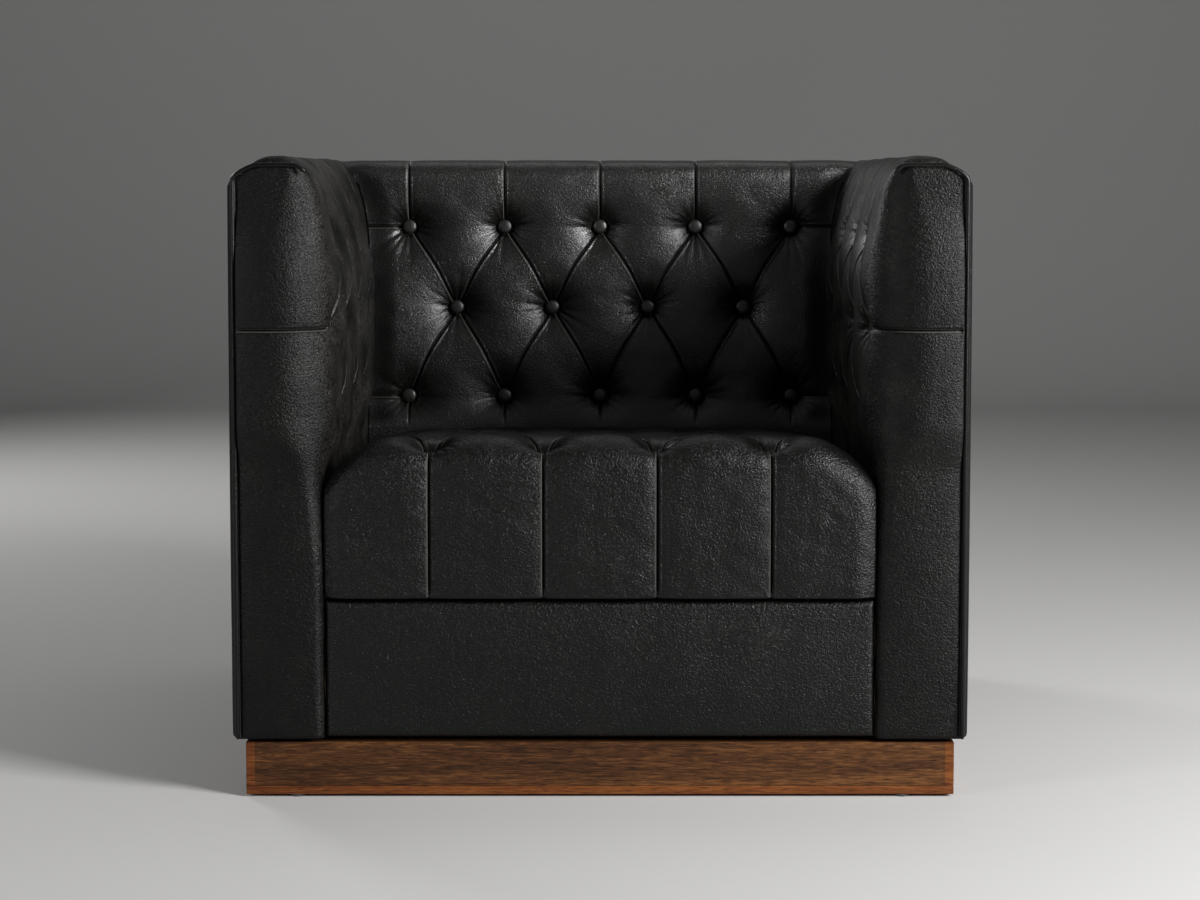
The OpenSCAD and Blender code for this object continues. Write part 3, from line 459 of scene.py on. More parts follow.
# Plain sawn timber and board: growth rings and finer fibres, both drawn out along one axis
def timber(name, along, colours):
    s, f = timberFinish, newFinish(name)
    scale = [s["along"] if axis == along else s["across"] for axis in "xyz"]
    rings = f.noise(1.0, 4, 0.6, f.stretched(scale), 0.8)
    fibres = f.noise(1.0, 3, 0.6, f.stretched([k * s["fibreRatio"] for k in scale]))
    figure = rings * s["ringShare"] + fibres * (1 - s["ringShare"])
    return f.done(
        Base_Color=f.ramp(figure, list(zip(s["stops"], colours))),
        Roughness=s["roughness"] + fibres * s["roughnessRange"],
        Normal=f.bump(fibres, s["fibreHeight"]))


# Metal or hard plastic: noise wears its colour, roughness and height
def metal(name, colour, roughness, scratch=60.0, metallic=1.0):
    f = newFinish(name)
    wear = f.noise(scratch, 5, 0.7)
    return f.done(
        Base_Color=f.blend(wear, dimmed(colour, 0.7), colour), Metallic=metallic,
        Roughness=roughness + wear * 0.18, Normal=f.bump(wear, 0.00005))


# Foam: small cells, lower at their points, with painted shade darkening the colour there
def foam(name, colour):
    f = newFinish(name)
    holes = f.cells(900.0)
    return f.done(Base_Color=f.blend(holes * 1.3, dimmed(colour, 0.6), colour), Roughness=0.95,
                  Normal=f.bump(holes, 0.0006))


# Cloth: the mean of two crossed waves in the height, and fuzz in the colour
def cloth(name, colour, scale):
    f = newFinish(name)
    weave, weft = (f.node("TexWave", {"bands_direction": axis}, {
        "Vector": f.place, "Scale": scale}, "Fac") for axis in "XY")
    return f.done(
        Base_Color=f.blend(f.noise(300.0, 3), dimmed(colour, 0.6), colour), Roughness=0.92,
        Normal=f.bump(weave * 0.5 + weft * 0.5, 0.0002))


blackLeather = leather("blackLeather", {})
# The back's leather is lighter than the rest: its lighter colour is painted light.
paintedLightBackLeather = leather("paintedLightBackLeather", {
    "light": (0.0250, 0.0236, 0.0213), "pebbleHeight": 0.00046, "creaseHeight": 0.00060,
    "pebbleScale": 500.0, "specular": 0.60, "roughness": 0.25, "roughnessRange": 0.13})
armLeather = leather("armLeather", {
    "light": (0.0095, 0.0089, 0.0080), "specular": 0.18, "roughness": 0.24})
panelLeather = leather("panelLeather", {
    "pebbleHeight": 0.00034, "creaseHeight": 0.00040, "roughness": 0.30})
# The buttons' lighter colours are painted light.
paintedLightButtonLeather = leather("paintedLightButtonLeather", {
    "dark": (0.0035, 0.0033, 0.0030), "light": (0.040, 0.038, 0.034), "roughness": 0.30,
    "pebbleHeight": 0.00022, "creaseHeight": 0.00015, "specular": 0.6})
pipingLeather = leather("pipingLeather", {"pebbleHeight": 0.00025, "creaseHeight": 0.0002})
boardFinishes = {grade + along: walnut(grade, along)
                 for grade in ("walnut", "lipping") for along in "XY"}
print("finishes made")


tufting = {
    "flat": 9.0,                              # reach of the button over the leather
    "ringDepth": 4.0, "ringWidth": 4.0,       # the leather pressed in right round the button
    "pillowPower": 0.7,                       # roundness of the diamonds between the folds
    "rollDepth": 1.5, "rollWidth": 5.0,       # the leather rolling over into a fold
    "grooveDepth": 2.6, "grooveWidth": 1.1,   # the narrow groove of a fold
    "lipHeight": 0.5, "lipPlace": 2.9, "lipWidth": 1.3,  # the raised edge beside it
    "backhand": 0.4,                          # share of the crisp edge, with its painted highlight, on folds that lean right
    "puckerDepth": 2.6, "puckerStart": 8.0, "puckerReach": 26.0, "puckerCount": 15.0,
    "stretchReach": 19.0, "stretchPower": 1.3,
    "spokeLength": 130.0, "spokeApart": 3.7,  # the noise of the spokes, along and between tufts
}


# Tufts as pairs of column and row: those whose sum is even, or odd
def tufts(columns, rows, odd=0):
    return [(c, v) for v in range(rows) for c in columns if (c + v) % 2 == odd]


# Places across a pad: even steps between the columns of tufts, and others out to the sides
def acrossPad(p):
    n = p["columns"]
    knots = [-body["seatSide"], *(pitch * np.arange(-n, n + 1)), body["seatSide"]]
    return steps(knots, [p["sideCells"], *[p["cells"]] * (2 * n), p["sideCells"]])[None, :]


# With a = (u+v)/2 and b = (u-v)/2, tufts lie where both are whole and folds where one is.
# Gives the puff, the mean of |sin(pi a)| and |sin(pi b)|, and the distances to the two folds.
# Past the last row or column, u and v are held and the folds run straight out.
def diamonds(u, v, uLow, uHigh, vHigh, rowPitch):
    cu, cv = np.clip(u, uLow, uHigh), np.clip(v, 0, vHigh)
    du, dv = np.abs(u - cu), np.abs(v - cv)
    a, b = (cu + cv) / 2, (cu - cv) / 2
    slant = 2 / np.sqrt(pitch ** -2.0 + rowPitch ** -2.0)
    reach = np.where(dv > 0, 2 * pitch, np.where(du > 0, 2 * rowPitch, slant))
    corner = (du > 0) & (dv > 0) & ((np.round(cu + cv) % 2) == 0)
    quarter = np.sqrt(
        np.sin(np.pi / 2 * np.minimum(1, du)) * np.sin(np.pi / 2 * np.minimum(1, dv)))
    return (np.where(corner, quarter, (wave(a) + wave(b)) / 2),
            np.where(corner, (u - cu) * pitch, (a - np.round(a)) * reach),
            np.where(corner, (v - cv) * rowPitch, (b - np.round(b)) * reach))


# Which cells are cut from their first corner, so that the cuts follow the folds: the sum of
# the whole parts of u and v is even, or odd
def risingCells(u, v, odd=0):
    return (np.floor(u + 1e-6) + np.floor(v[:-1] + 1e-6)) % 2 == odd


# Cross-section of a fold, into the pad: a bell-shaped groove less a raised lip on one side
def foldSection(s, side=1):
    return (tufting["grooveDepth"] * bell(s, tufting["grooveWidth"])
            + tufting["rollDepth"] * np.exp(-np.abs(s) / tufting["rollWidth"])
            - tufting["lipHeight"] * bell(s + side * tufting["lipPlace"], tufting["lipWidth"]))


# Marks of the nearest tuft: cosine and sine of the direction from it, and a share of the
# distance, so that a noise read from them is drawn out along the radii. With the tufts' pull,
# exp(-(distance / reach)^power) past the button.
def spokeMarks(a, b, spots, seed):
    least, marks = np.inf, 0
    for number, (spotA, spotB) in enumerate(spots):
        da, db = a - spotA, b - spotB
        r = np.hypot(da, db)
        closer = r < least
        least = np.where(closer, r, least)
        spoke = spread(da / (r + 1e-6), db / (r + 1e-6),
                       r / tufting["spokeLength"] + tufting["spokeApart"] * (number + seed))
        marks = np.where(closer[..., None], spoke, marks)
    past = np.maximum(0, least - tufting["flat"]) / tufting["stretchReach"]
    return marks, np.exp(-past ** tufting["stretchPower"])


# The marks that the leather reads. Fold: nearness to the nearest fold, 1 - distance / reach,
# held at 0; the strength given; and the pull of the tufts. Flap: the crisp edge, which the
# leather lightens as wear and as a painted highlight, on the fold's left or under it; the soft
# roll, on the other side; and the share of painted light on the arms' inner faces.
def tuftMarks(a, b, spots, seed, folds, strength, share=1, handled=0):
    spokes, pull = spokeMarks(a, b, spots, seed)
    first = np.abs(folds[0]) <= np.abs(folds[1])
    nearest = np.where(first, *folds)
    near = np.clip(1 - np.abs(nearest) / leatherFinish["foldReach"], 0, 1)
    soft = 0.5 + 0.5 * np.sign(nearest)
    # The crisp edge carries the painted highlight, and is weaker on the folds that lean right.
    crisp = (1 - soft) * np.where(first, 1, tufting["backhand"])
    marks = {"fold": spread(near, strength, pull * share), "spoke": spokes,
             "flap": spread(crisp, soft, handled)}
    return {mark: values.reshape(-1, 3) for mark, values in marks.items()}


# Small radial folds round each tuft: cos(n angle), raised to the positive and sharpened, whose
# strength wanders round the tuft and dies away with the distance
def puckers(a, b, spots, seed):
    rng = np.random.default_rng(seed)
    total = 0
    for spotA, spotB in spots:
        phase, second, third, strength = rng.uniform([0, 0, 0, 0.75], [6.28, 6.28, 6.28, 1.15])
        da, db = a - spotA, b - spotB
        angle, past = np.arctan2(da, -db), np.hypot(da, db) - tufting["puckerStart"]
        fan = 0.55 + 0.25 * np.cos(2 * angle + second) + 0.2 * np.cos(5 * angle + third)
        fading = ease(past / 5) * np.exp(-(np.maximum(past, 0) / tufting["puckerReach"]) ** 1.5)
        wander = phase + 1.6 * np.sin(3 * angle + second)
        rays = (0.5 + 0.5 * np.cos(angle * tufting["puckerCount"] + wander)) ** 1.6
        total = total + tufting["puckerDepth"] * strength * fan * fading * rays
    return total


# Depth of the pits round the tufts: each is depth exp(-(r - flat) / width), past the reach of
# the button, with a ring pressed in right beside it
def pits(a, b, spots, p):
    total = 0
    for spotA, spotB in spots:
        r = np.maximum(0, np.hypot(a - spotA, b - spotB) - tufting["flat"])
        total = total + p["pitDepth"] * np.exp(-r / p["pitWidth"]) + tufting["ringDepth"] * (
            1 - ease((r + 1) / tufting["ringWidth"]))
    return np.minimum(total, p["pitDepth"] + tufting["ringDepth"])


# Depth of a tufted surface below its crest: the pits, the pillows between the folds, and the
# folds themselves
def tuftedDepth(field, pitDepth, pillow, foldShare):
    puff, foldA, foldB = field
    return (pitDepth + pillow * (1 - np.clip(puff, 0, 1) ** tufting["pillowPower"])
            + foldShare * (foldSection(foldA) + foldSection(foldB, -1)))


# Row number of a height among three rows, going on evenly above and below them
def rowPlace(z, rows):
    return np.where(z < rows[1], (z - rows[0]) / (rows[1] - rows[0]),
                    1 + (z - rows[1]) / (rows[2] - rows[1]))


arch = {"turnZ": 590.0, "power": 2.6}


# Distance from the middle of the arm's inside face at a height: above the turn it leans back
# to the crest, where ((crest - x) / width)^2 + ((z - turn) / rise)^power = 1
def archPlace(z):
    width = body["armCrestX"] - body["armFace"]
    up = np.clip((z - arch["turnZ"]) / (body["crestZ"] - arch["turnZ"]), 0, 1)
    return body["armCrestX"] - width * np.sqrt(1 - up ** arch["power"])


coverForm = {
    "cells": (16, 14, 16),                    # below the seat, to the first row, past the last
    "edgeCells": 26, "domeCells": 24, "domePitch": 100.0,
    "edgeWay": 1.2, "domeStart": 75.0, "domePillow": 0.2, "domeFold": 0.3, "foldPower": 1.2,
}


# Rows of a cover: up the padded face, round the top edge as a quarter of an ellipse, whose
# sine and cosine are raised to the edge's power, and over the dome, which falls as a power of
# the way. Gives depth and height of the crest, slope angle, row number, distance of the rows,
# way along the leather, shares of the tufts' depth, pillows and folds, and the shares of the
# way round the edge and across the top.
def coverRows(p, face, edge, crest, outer, arched=False):
    c, rows, acute = coverForm, p["rows"], p["edgePower"]
    low, middle, past = c["cells"]
    high = steps([body["deckZ"], body["padZ"], body["seatLevelZ"], *rows, body["edgeZ"]],
                 [p["deckCells"], low, middle, p["cells"], p["cells"], past])
    rise = ease((high - body["seatLevelZ"]) / (rows[0] - body["seatLevelZ"]))
    fade = mix(1, p["edgePit"], np.clip((high - rows[2]) / (body["edgeZ"] - rows[2]), 0, 1))
    t, s, none = shares(c["edgeCells"]), shares(c["domeCells"]), 0 * high
    bend = np.pi / 2 * mix(t, ease(t), 1 - acute)
    rim = body["crestZ"] - body["edgeZ"]
    edgePlace = crest - edge * np.maximum(0, np.cos(bend)) ** acute
    edgeHeight = body["edgeZ"] + rim * np.sin(bend) ** acute
    place = column(none + face, edgePlace, mix(crest, outer, s))
    height = column(high, edgeHeight, body["crestZ"] - (
        body["crestZ"] - body["seamZ"]) * s ** p["domePower"])
    slope = column(none, np.arctan2(np.gradient(edgePlace), np.gradient(edgeHeight)),
                   0 * s + np.pi / 2)
    if arched:
        below = place < crest - 0.01
        place = np.where(below, archPlace(height), place)
        slope = np.where(below, np.arctan2(
            np.gradient(place, axis=0), np.gradient(height, axis=0)), slope)
    return {
        "place": place, "height": height, "slope": slope,
        "row": column(rowPlace(high, rows), 3 + t, 4 + s),
        "pitch": column(np.where(high < rows[1], rows[1] - rows[0], rows[2] - rows[1]),
                        0 * t + c["domePitch"], 0 * s + c["domePitch"]),
        "along": column(high, body["edgeZ"] + c["edgeWay"] * (edge + rim) / 2 * np.pi / 2 * t,
                        body["edgeZ"] + c["domeStart"] + (outer - crest) * s),
        "share": column(rise * fade, p["edgePit"] * (1 - t), 0 * s),
        "pillow": column(rise * fade, p["edgePit"] * mix(1, c["domePillow"], t),
                         c["domePillow"] * p["edgePit"] * (1 - s)),
        "fold": column(rise, mix(1, c["domeFold"], t), c["domeFold"] * (1 - s) ** c["foldPower"]),
        "edge": column(none, t, 0 * s + 1), "top": column(none, 0 * t, s),
    }


backPad = {
    "rows": [422.0, 545.0, 657.0], "columns": 4, "lean": 30.0, "pitDepth": 20.0, "pitWidth": 26.0,
    "edgeDepth": 45.0, "edgePit": 0.30, "edgePower": 0.55, "domePower": 2.5, "pillow": 4.5,
    "bow": 5.0, "sideRoll": 8.0, "sideRollWidth": 40.0, "sideGap": 0.6, "innerWidth": 0.998,
    "cells": 46, "sideCells": 33, "deckCells": 0, "seed": 11, "uneven": 0.8, "wavelength": 90.0,
}


# How far the back leans at a height: evenly from the seat to the top edge, and held past them
def leanAt(z):
    return backPad["lean"] * np.clip(
        (z - body["seatLevelZ"]) / (body["edgeZ"] - body["seatLevelZ"]), 0, 1)


# The folds bow sideways between their tufts, by sin(pi u) sin(pi v). Past the last tuft the
# pad widens upwards, as far as the arch of the arm leans back, and rolls off at its sides.
def makeBack():
    p, last = backPad, backPad["columns"]
    r = coverRows(p, body["backFront"], p["edgeDepth"], body["backCrestY"], body["rear"])
    x, v = acrossPad(p), r["row"]
    u = x / pitch
    field = diamonds(u, v, -last, last, 2, r["pitch"])
    lastX = last * pitch
    end = np.where(r["top"] > 0, body["armCrestX"], archPlace(r["height"])) - p["sideGap"]
    toSide = np.clip((np.abs(x) - lastX) / (body["seatSide"] - lastX), 0, 1)
    x = np.sign(x) * (np.minimum(np.abs(x), lastX) + toSide * (end - lastX))
    tufted = (np.abs(u) < last) & (v > 0) & (v < 2)
    x = x - p["bow"] * np.where(tufted, np.sin(np.pi * u) * np.sin(np.pi * v), 0)
    roll = p["sideRoll"] * (1 - ease((end - np.abs(x)) / p["sideRollWidth"]))
    spots = [(c * pitch, p["rows"][k]) for c, k in tufts(range(-last, last + 1), 3)]
    d = (tuftedDepth(field, r["share"] * pits(x, r["along"], spots, p),
                     p["pillow"] * r["pillow"], r["fold"])
         + roll * np.minimum(1, 3 * r["pillow"]) * (1 - r["top"])
         + puckers(x, r["along"], spots, p["seed"]) * r["share"]
         + p["uneven"] * undulation(x, r["along"], p["wavelength"], p["seed"]) * r["fold"])
    lean = np.where(r["edge"] > 0, 0, leanAt(r["height"]))
    points = spread(x, r["place"] + lean + d * np.cos(r["slope"]),
                    r["height"] - d * np.sin(r["slope"]))
    inner, wood, shelf = borderOf(points), body["backFrameY"] - clear, body["shelfZ"] + clear
    low = inner[:, 2] < body["shelfZ"]
    inner[low, 1] = np.maximum(inner[low, 1], wood)
    inner[~low, 2] = shelf
    inner[:, 0] *= p["innerWidth"]
    return (closeGrid(points, inner, [0, wood, shelf], risingCells(u[:, :-1], v)),
            tuftMarks(x, r["along"], spots, 1, field[1:], r["fold"], r["share"]))


mesh, marks = makeBack()
addPiece("insideBackLeather", mesh, paintedLightBackLeather, ["inside_back_cover"],
         marks=marks)


armPad = {
    "rows": [441.0, 549.0, 657.0], "firstTuft": -324.0, "lastTuft": 141.5, "lastColumn": 7,
    "pitDepth": 12.0, "pitWidth": 17.0, "pillow": 4.5, "edgePit": 0.30, "edgePower": 1.0,
    "domePower": 3.0, "rearPower": 2.5, "rearClear": 0.5,
    "bulge": 16.0, "bulgeHeight": 60.0, "bulgeTop": 22.0, "bulgeFade": 130.0,
    "bulgeEnd": 0.7, "frontBulge": 0.6,
    "edgeRadius": 30.0, "radiusRise": 230.0, "edgeWidth": 2.0, "widthRise": 70.0,
    "lowRadius": 11.0, "seamRadius": 9.0, "rimRadius": 1.5, "hookSlope": 56.0,
    "cornerFill": 8.0, "cornerZ": 728.0, "cornerReach": 50.0, "cornerTop": 0.45,
    "cornerStart": -150.0, "cornerLength": 200.0,
    "frontCrown": 8.0, "frontFold": 3.0, "frontFoldWidth": 7.0, "seamWidth": 5.0,
    "lips": ((-3.2, 1.7, 1.0), (3.4, 1.9, 0.8)),     # place, width and share, by the front fold
    "spineStart": 560.0, "frontShare": 0.30, "uneven": 0.7, "wavelength": 85.0,
    "cells": 36, "deckCells": 39, "rearCells": (30, 16, 9), "frontCells": (18, 18, 32),
    "wrapCells": 6, "innerEdge": 14.0,
}


# Share of the way from the front edge of the arm to its first tuft, smoothed
def pastFront(y):
    return ease((y - body["front"]) / (armPad["firstTuft"] - body["front"]))


# Swell of the inside face: it grows above the seat, fades towards the crest and towards the
# back, and still has a share of its height at the front edge
def armBulge(y, z):
    p = armPad
    return (p["bulge"] * ease((z - body["seatLevelZ"]) / p["bulgeHeight"])
            * ease((body["crestZ"] - p["bulgeTop"] - z) / p["bulgeFade"])
            * mix(p["frontBulge"], 1, pastFront(y))
            * ease((body["backFront"] - y) / (p["bulgeEnd"] * pitch)))


# Sideways fill of the arm's upper inner corner near its front, as two bells over the height
def cornerFill(y, z):
    p = armPad
    low = np.minimum(0, z - p["cornerZ"]) / p["cornerReach"]
    high = np.maximum(0, z - p["cornerZ"]) / (p["cornerTop"] * p["cornerReach"])
    return p["cornerFill"] * bell(low, 1) * bell(high, 1) * ease(
        (p["cornerStart"] - y) / p["cornerLength"])


# The arm is one leather surface. Its rows go up the inside face, round the top edge and over
# the dome to the outer seam. Its columns run from the rear to the front, round the rounded
# front edge, and across the front face to the outer seam. A front-face point lies on the
# straight line from the row's inset profile point to its own height on the outer seam.
def makeArm(seed):
    p = armPad
    r = coverRows(p, body["armFace"], body["armCrestX"] - body["armFace"], body["armCrestX"],
                  body["frameOut"], True)
    height, slope, along = r["height"], r["slope"], r["along"]
    # Radius of the front edge: wide down the inside, narrow along the piping
    radius = mix(p["lowRadius"], p["edgeRadius"],
                 ease((height - body["padZ"]) / p["radiusRise"]))
    radius = mix(radius, p["seamRadius"], ease(np.degrees(slope) / p["hookSlope"]))
    radius = np.where(
        r["top"] > 0, np.maximum(p["rimRadius"], p["seamRadius"] * (1 - r["top"] ** 2)), radius)
    side = steps([body["rear"], body["backFrameY"] - clear, body["backFront"],
                  *(p["lastTuft"] - pitch * np.arange(p["lastColumn"] + 1))],
                 [*p["rearCells"], *[p["cells"]] * p["lastColumn"]])
    toEdge, turn, across = (shares(n) for n in p["frontCells"])
    edgeY = body["padFront"] + radius
    y = np.concatenate([
        side + 0 * edgeY, mix(p["firstTuft"], edgeY, toEdge),
        edgeY - radius * np.sin(np.pi / 2 * turn), body["padFront"] + 0 * edgeY * across], 1)
    flat = np.zeros(len(side) + len(toEdge))
    omega = np.pi / 2 * np.concatenate([flat, turn, 0 * across + 1])
    share = np.concatenate([flat, 0 * turn, across])
    # Depth along the fabric, for the tufting of the inside
    u = (y - p["firstTuft"]) / pitch + 1
    field = diamonds(u, r["row"], 1, 1 + p["lastColumn"], 2, r["pitch"])
    onFront = np.sin(omega) ** 2
    inside = ease((body["backFront"] - y) / (body["backFront"] - p["lastTuft"])) * (1 - onFront)
    sideShare = mix(p["frontShare"], 1, pastFront(y)) * inside
    spots = [(p["firstTuft"] + k * pitch, p["rows"][v])
             for k, v in tufts(range(p["lastColumn"] + 1), 3, 1)]
    d = (tuftedDepth(field, r["share"] * sideShare * pits(y, along, spots, p),
                     p["pillow"] * r["pillow"] * sideShare, r["fold"] * inside)
         + puckers(y, along, spots, seed) * r["share"] * inside - armBulge(y, height))
    # Heights: the arch of the arm, falling to the rear seam
    fall, sideDrop = body["crestZ"] - body["seamZ"], body["crestZ"] - height
    rearDrop = fall * np.clip((y - body["backCrestY"]) / (
        body["rear"] - body["backCrestY"]), 0, 1) ** p["rearPower"]
    overTop = sideDrop + rearDrop * (1 - np.minimum(1, sideDrop / fall))
    baseZ = np.where(r["edge"] > 0, body["crestZ"] - overTop, height)
    baseZ = np.where((y > body["backFrameY"] - 1) & (r["edge"] > 0),
                     np.maximum(baseZ, body["shelfZ"] + p["rearClear"]), baseZ)
    # The front edge is rounded as a quarter of an ellipse, wider than deep above the seat
    wide = 1 + (p["edgeWidth"] - 1) * ease(
        (height - body["seatLevelZ"]) / p["widthRise"]) * np.cos(slope)
    inward = wide * radius * (1 - np.cos(omega))
    profileX = r["place"] - cornerFill(y, height) + inward * np.cos(slope)
    profileZ = baseZ - inward * np.sin(slope)
    # Height on the outer seam that each row of the front face runs to
    step = np.hypot(np.diff(r["place"], axis=0), np.diff(height, axis=0))
    way = body["deckZ"] + np.concatenate([[[0]], np.cumsum(step, axis=0)])
    past = np.clip((way - p["spineStart"]) / (way[-1] - p["spineStart"]), 0, 1)
    room = body["seamZ"] - p["rimRadius"] - p["spineStart"]
    pull = (way[-1] - p["spineStart"]) / room
    spine = np.where(way < p["spineStart"], way,
                     p["spineStart"] + room * (pull * past - (pull - 1) * past ** 2))
    x, z = mix(profileX, body["frameOut"], share), mix(profileZ, spine, share)
    # The front face swells, and is folded in straight across at the middle row
    swell = (p["frontCrown"] * crown((x - body["armFace"]) / (body["frameOut"] - body["armFace"]))
             * crown((z - body["deckZ"]) / (body["crestZ"] - body["deckZ"])))
    toFold = z - p["rows"][1]
    seamFade = ease((body["frameOut"] - x) / p["seamWidth"])
    lips = sum(part * bell(toFold - at, width) for at, width, part in p["lips"])
    frontDip = seamFade * (p["frontFold"] * np.exp(-np.abs(toFold) / p["frontFoldWidth"])
                           + tufting["grooveDepth"] * bell(toFold, tufting["grooveWidth"])
                           - tufting["lipHeight"] * lips)
    uneven = p["uneven"] * undulation(y + x, z, p["wavelength"], seed) * (1 - 0.5 * onFront)
    d = d + (frontDip - swell) * onFront + uneven * seamFade
    facing = onFront > 0.5
    # The arms' inner faces, 1 - onFront, are marked for the leather's painted light.
    marks = tuftMarks(
        y, along, spots, seed, [np.where(facing, toFold, fold) for fold in field[1:]],
        np.where(facing, seamFade * onFront, r["fold"] * inside), r["share"] * sideShare,
        1 - onFront)
    points = spread(
        x + d * np.cos(omega) * np.cos(slope), y + d * np.sin(omega),
        z - d * np.cos(omega) * np.sin(slope))
    # Three grids: the face above the seat, the front below it, and the top beside the back
    rows, cols = points.shape[:2]
    low, high = p["deckCells"], np.count_nonzero(r["edge"] == 0)
    near, far = len(flat) - p["wrapCells"], p["rearCells"][0]
    index = np.arange(rows * cols).reshape(rows, cols)
    keep = np.ones((rows - 1, cols - 1), bool)
    keep[:low, :near] = False
    keep[:high, :far] = False
    rising = risingCells(u[:-1, 1:], r["row"], 1)
    faces = gridFaces(rows, cols, rising)[np.tile(keep.ravel(), 2)]
    loop = np.concatenate([
        index[0, near:-1], index[:-1, -1], index[-1, :0:-1], index[:high:-1, 0],
        index[high, :far], index[high:low:-1, far], index[low, far:near], index[low:0:-1, near]])
    points = points.reshape(-1, 3)
    inner, hub = points[loop], [body["frameIn"] - clear, body["front"] - clear,
                                body["shelfZ"] + clear]
    atFront = inner[:, 1] < body["front"] + p["innerEdge"]
    onTop = (inner[:, 2] > body["shelfZ"]) | (inner[:, 1] > body["backFrameY"])
    inner[~atFront & ~onTop, 0] = hub[0]
    inner[atFront, 1] = hub[1]
    inner[onTop, 2] = hub[2]
    inner[:, 0] = np.clip(inner[:, 0], hub[0], body["frameOut"] - clear)
    mesh, used = trimmed(*closeShell(points, faces, loop, inner, hub))
    used = used[used < rows * cols]
    return mesh, {mark: values[used] for mark, values in marks.items()}


for sideName, seed in (("right", 23), ("left", 29)):
    mesh, marks = makeArm(seed)
    addPiece(sideName + "ArmLeather", mesh if sideName == "right" else mirrored(mesh),
             armLeather,
             [sideName + "_inside_arm_cover", sideName + "_arm_front"], marks=marks)


seatPad = {
    "front": -393.0, "depth": 557.7, "height": 189.0, "fall": 45.0, "edgeRadius": 38.0,
    "rowInset": 30.0, "rowPitch": 120.0, "lastRow": 4, "columns": 4,
    "pitDepth": 21.0, "pitWidth": 11.0, "pillow": 6.5, "frontPillow": 2.5, "puckers": 0.8,
    "sideFall": 52.0, "shoulder": 100.0, "shoulderPower": 2.2,
    "belly": 2.0, "endInset": 9.0, "endWidth": 26.0, "setBack": 1.6,
    "seamReach": 0.12, "seamFold": 0.35,      # how the folds fade in above the bottom seam
    "middleY": -110.0, "inner": (0.985, 0.97, 0.02),
    "faceCells": 54, "arcCells": 24, "cells": 42, "sideCells": 30, "rearCells": 14,
    "seed": 37, "uneven": 0.8, "wavelength": 80.0,
}


# Up the front face, round its edge as an arc, and back along the crest, which falls evenly.
# The ends are pressed down by a shoulder that grows as a power of the way to the side. The
# front bellies out as a sine between its bottom and its edge, and rounds in at its ends.
def makeSeat():
    p = seatPad
    radius, inset, last = p["edgeRadius"], p["rowInset"], p["columns"]
    faceH = p["height"] - radius
    tuftAngle = math.acos(1 - inset / radius)
    t, angle = np.linspace(0, 1, p["faceCells"] + 1), shares(p["arcCells"]) * tuftAngle
    d = steps([*(inset + p["rowPitch"] * np.arange(p["lastRow"] + 1)), p["depth"]],
              [p["cells"]] * p["lastRow"] + [p["rearCells"]])[1:]
    onArc, arcAngle = d < radius, np.arccos(np.clip(1 - d / radius, 0, 1))
    crest = np.where(onArc, faceH + radius * np.sin(arcAngle),
                     p["height"] - p["fall"] * (d - radius) / (p["depth"] - radius))
    place = column(0 * t, radius * (1 - np.cos(angle)), d)
    height = column(faceH * t, faceH + radius * np.sin(angle), crest)
    slope = column(0 * t, angle, np.where(onArc, arcAngle, np.pi / 2))
    row = column(0 * t - 1, angle / tuftAngle - 1, (d - inset) / p["rowPitch"])
    toTuft = inset - radius * tuftAngle       # the way is the length along the leather
    along = column(faceH * (t - 1) + toTuft, radius * angle + toTuft, d)
    pillow = column(0 * t + p["frontPillow"],
                    mix(p["frontPillow"], p["pillow"], angle / tuftAngle), 0 * d + p["pillow"])
    onFace = ease(column(t / p["seamReach"], 0 * angle + 1, 0 * d + 1))
    x = acrossPad(p)
    u = x / pitch + 1
    field = diamonds(u, row, 1 - last, 1 + last, p["lastRow"], p["rowPitch"])
    spots = [((k - 1) * pitch, inset + v * p["rowPitch"])
             for k, v in tufts(range(1 - last, 2 + last), p["lastRow"] + 1)]
    dip = (tuftedDepth(field, pits(x, along, spots, p), pillow, mix(p["seamFold"], 1, onFace))
           + p["puckers"] * puckers(x, along, spots, p["seed"])
           + p["uneven"] * undulation(x, along, p["wavelength"], p["seed"]))
    fromSide = body["seatSide"] - np.abs(x)
    shoulder = (np.maximum(0, p["shoulder"] - fromSide) / p["shoulder"]) ** p["shoulderPower"]
    squeeze = 1 - p["sideFall"] * shoulder / p["height"]
    belly = p["belly"] * np.sin(np.pi * np.clip(height / faceH, 0, 1))
    ends = p["endInset"] * np.clip(1 - fromSide / p["endWidth"], 0, 1) ** 2
    into = dip + p["setBack"] + (ends - belly) * np.cos(slope)
    points = spread(x, p["front"] + place + into * np.cos(slope),
                    body["padZ"] + (height - dip * np.sin(slope)) * squeeze)
    hub = np.array([0, p["middleY"], body["padZ"] + clear])
    inner = mix(hub, borderOf(points), np.array(p["inner"]))
    return (closeGrid(points, inner, hub, risingCells(u[:, :-1], row)),
            tuftMarks(x, along, spots, 5, field[1:], onFace))


mesh, marks = makeSeat()
addPiece("seatLeather", mesh, blackLeather, ["seat_cover"], marks=marks)


panels = {
    "railTop": 234.0, "past": 3.0, "cell": 4.2, "crowd": 0.35, "crowdBend": -0.4,
    # thickness, crown, and depth of the puckers at the upper corners
    "rail": (13.0, 7.0, 0.9), "side": (10.0, 5.0, 0.0), "rear": (6.0, 4.0, 0.0),
    "edgeRound": 7.0, "edgeShare": 0.25, "uneven": 0.55, "wavelength": 100.0, "unevenEdge": 30.0,
    "pinchCount": 11, "pinchReach": 34.0,
}


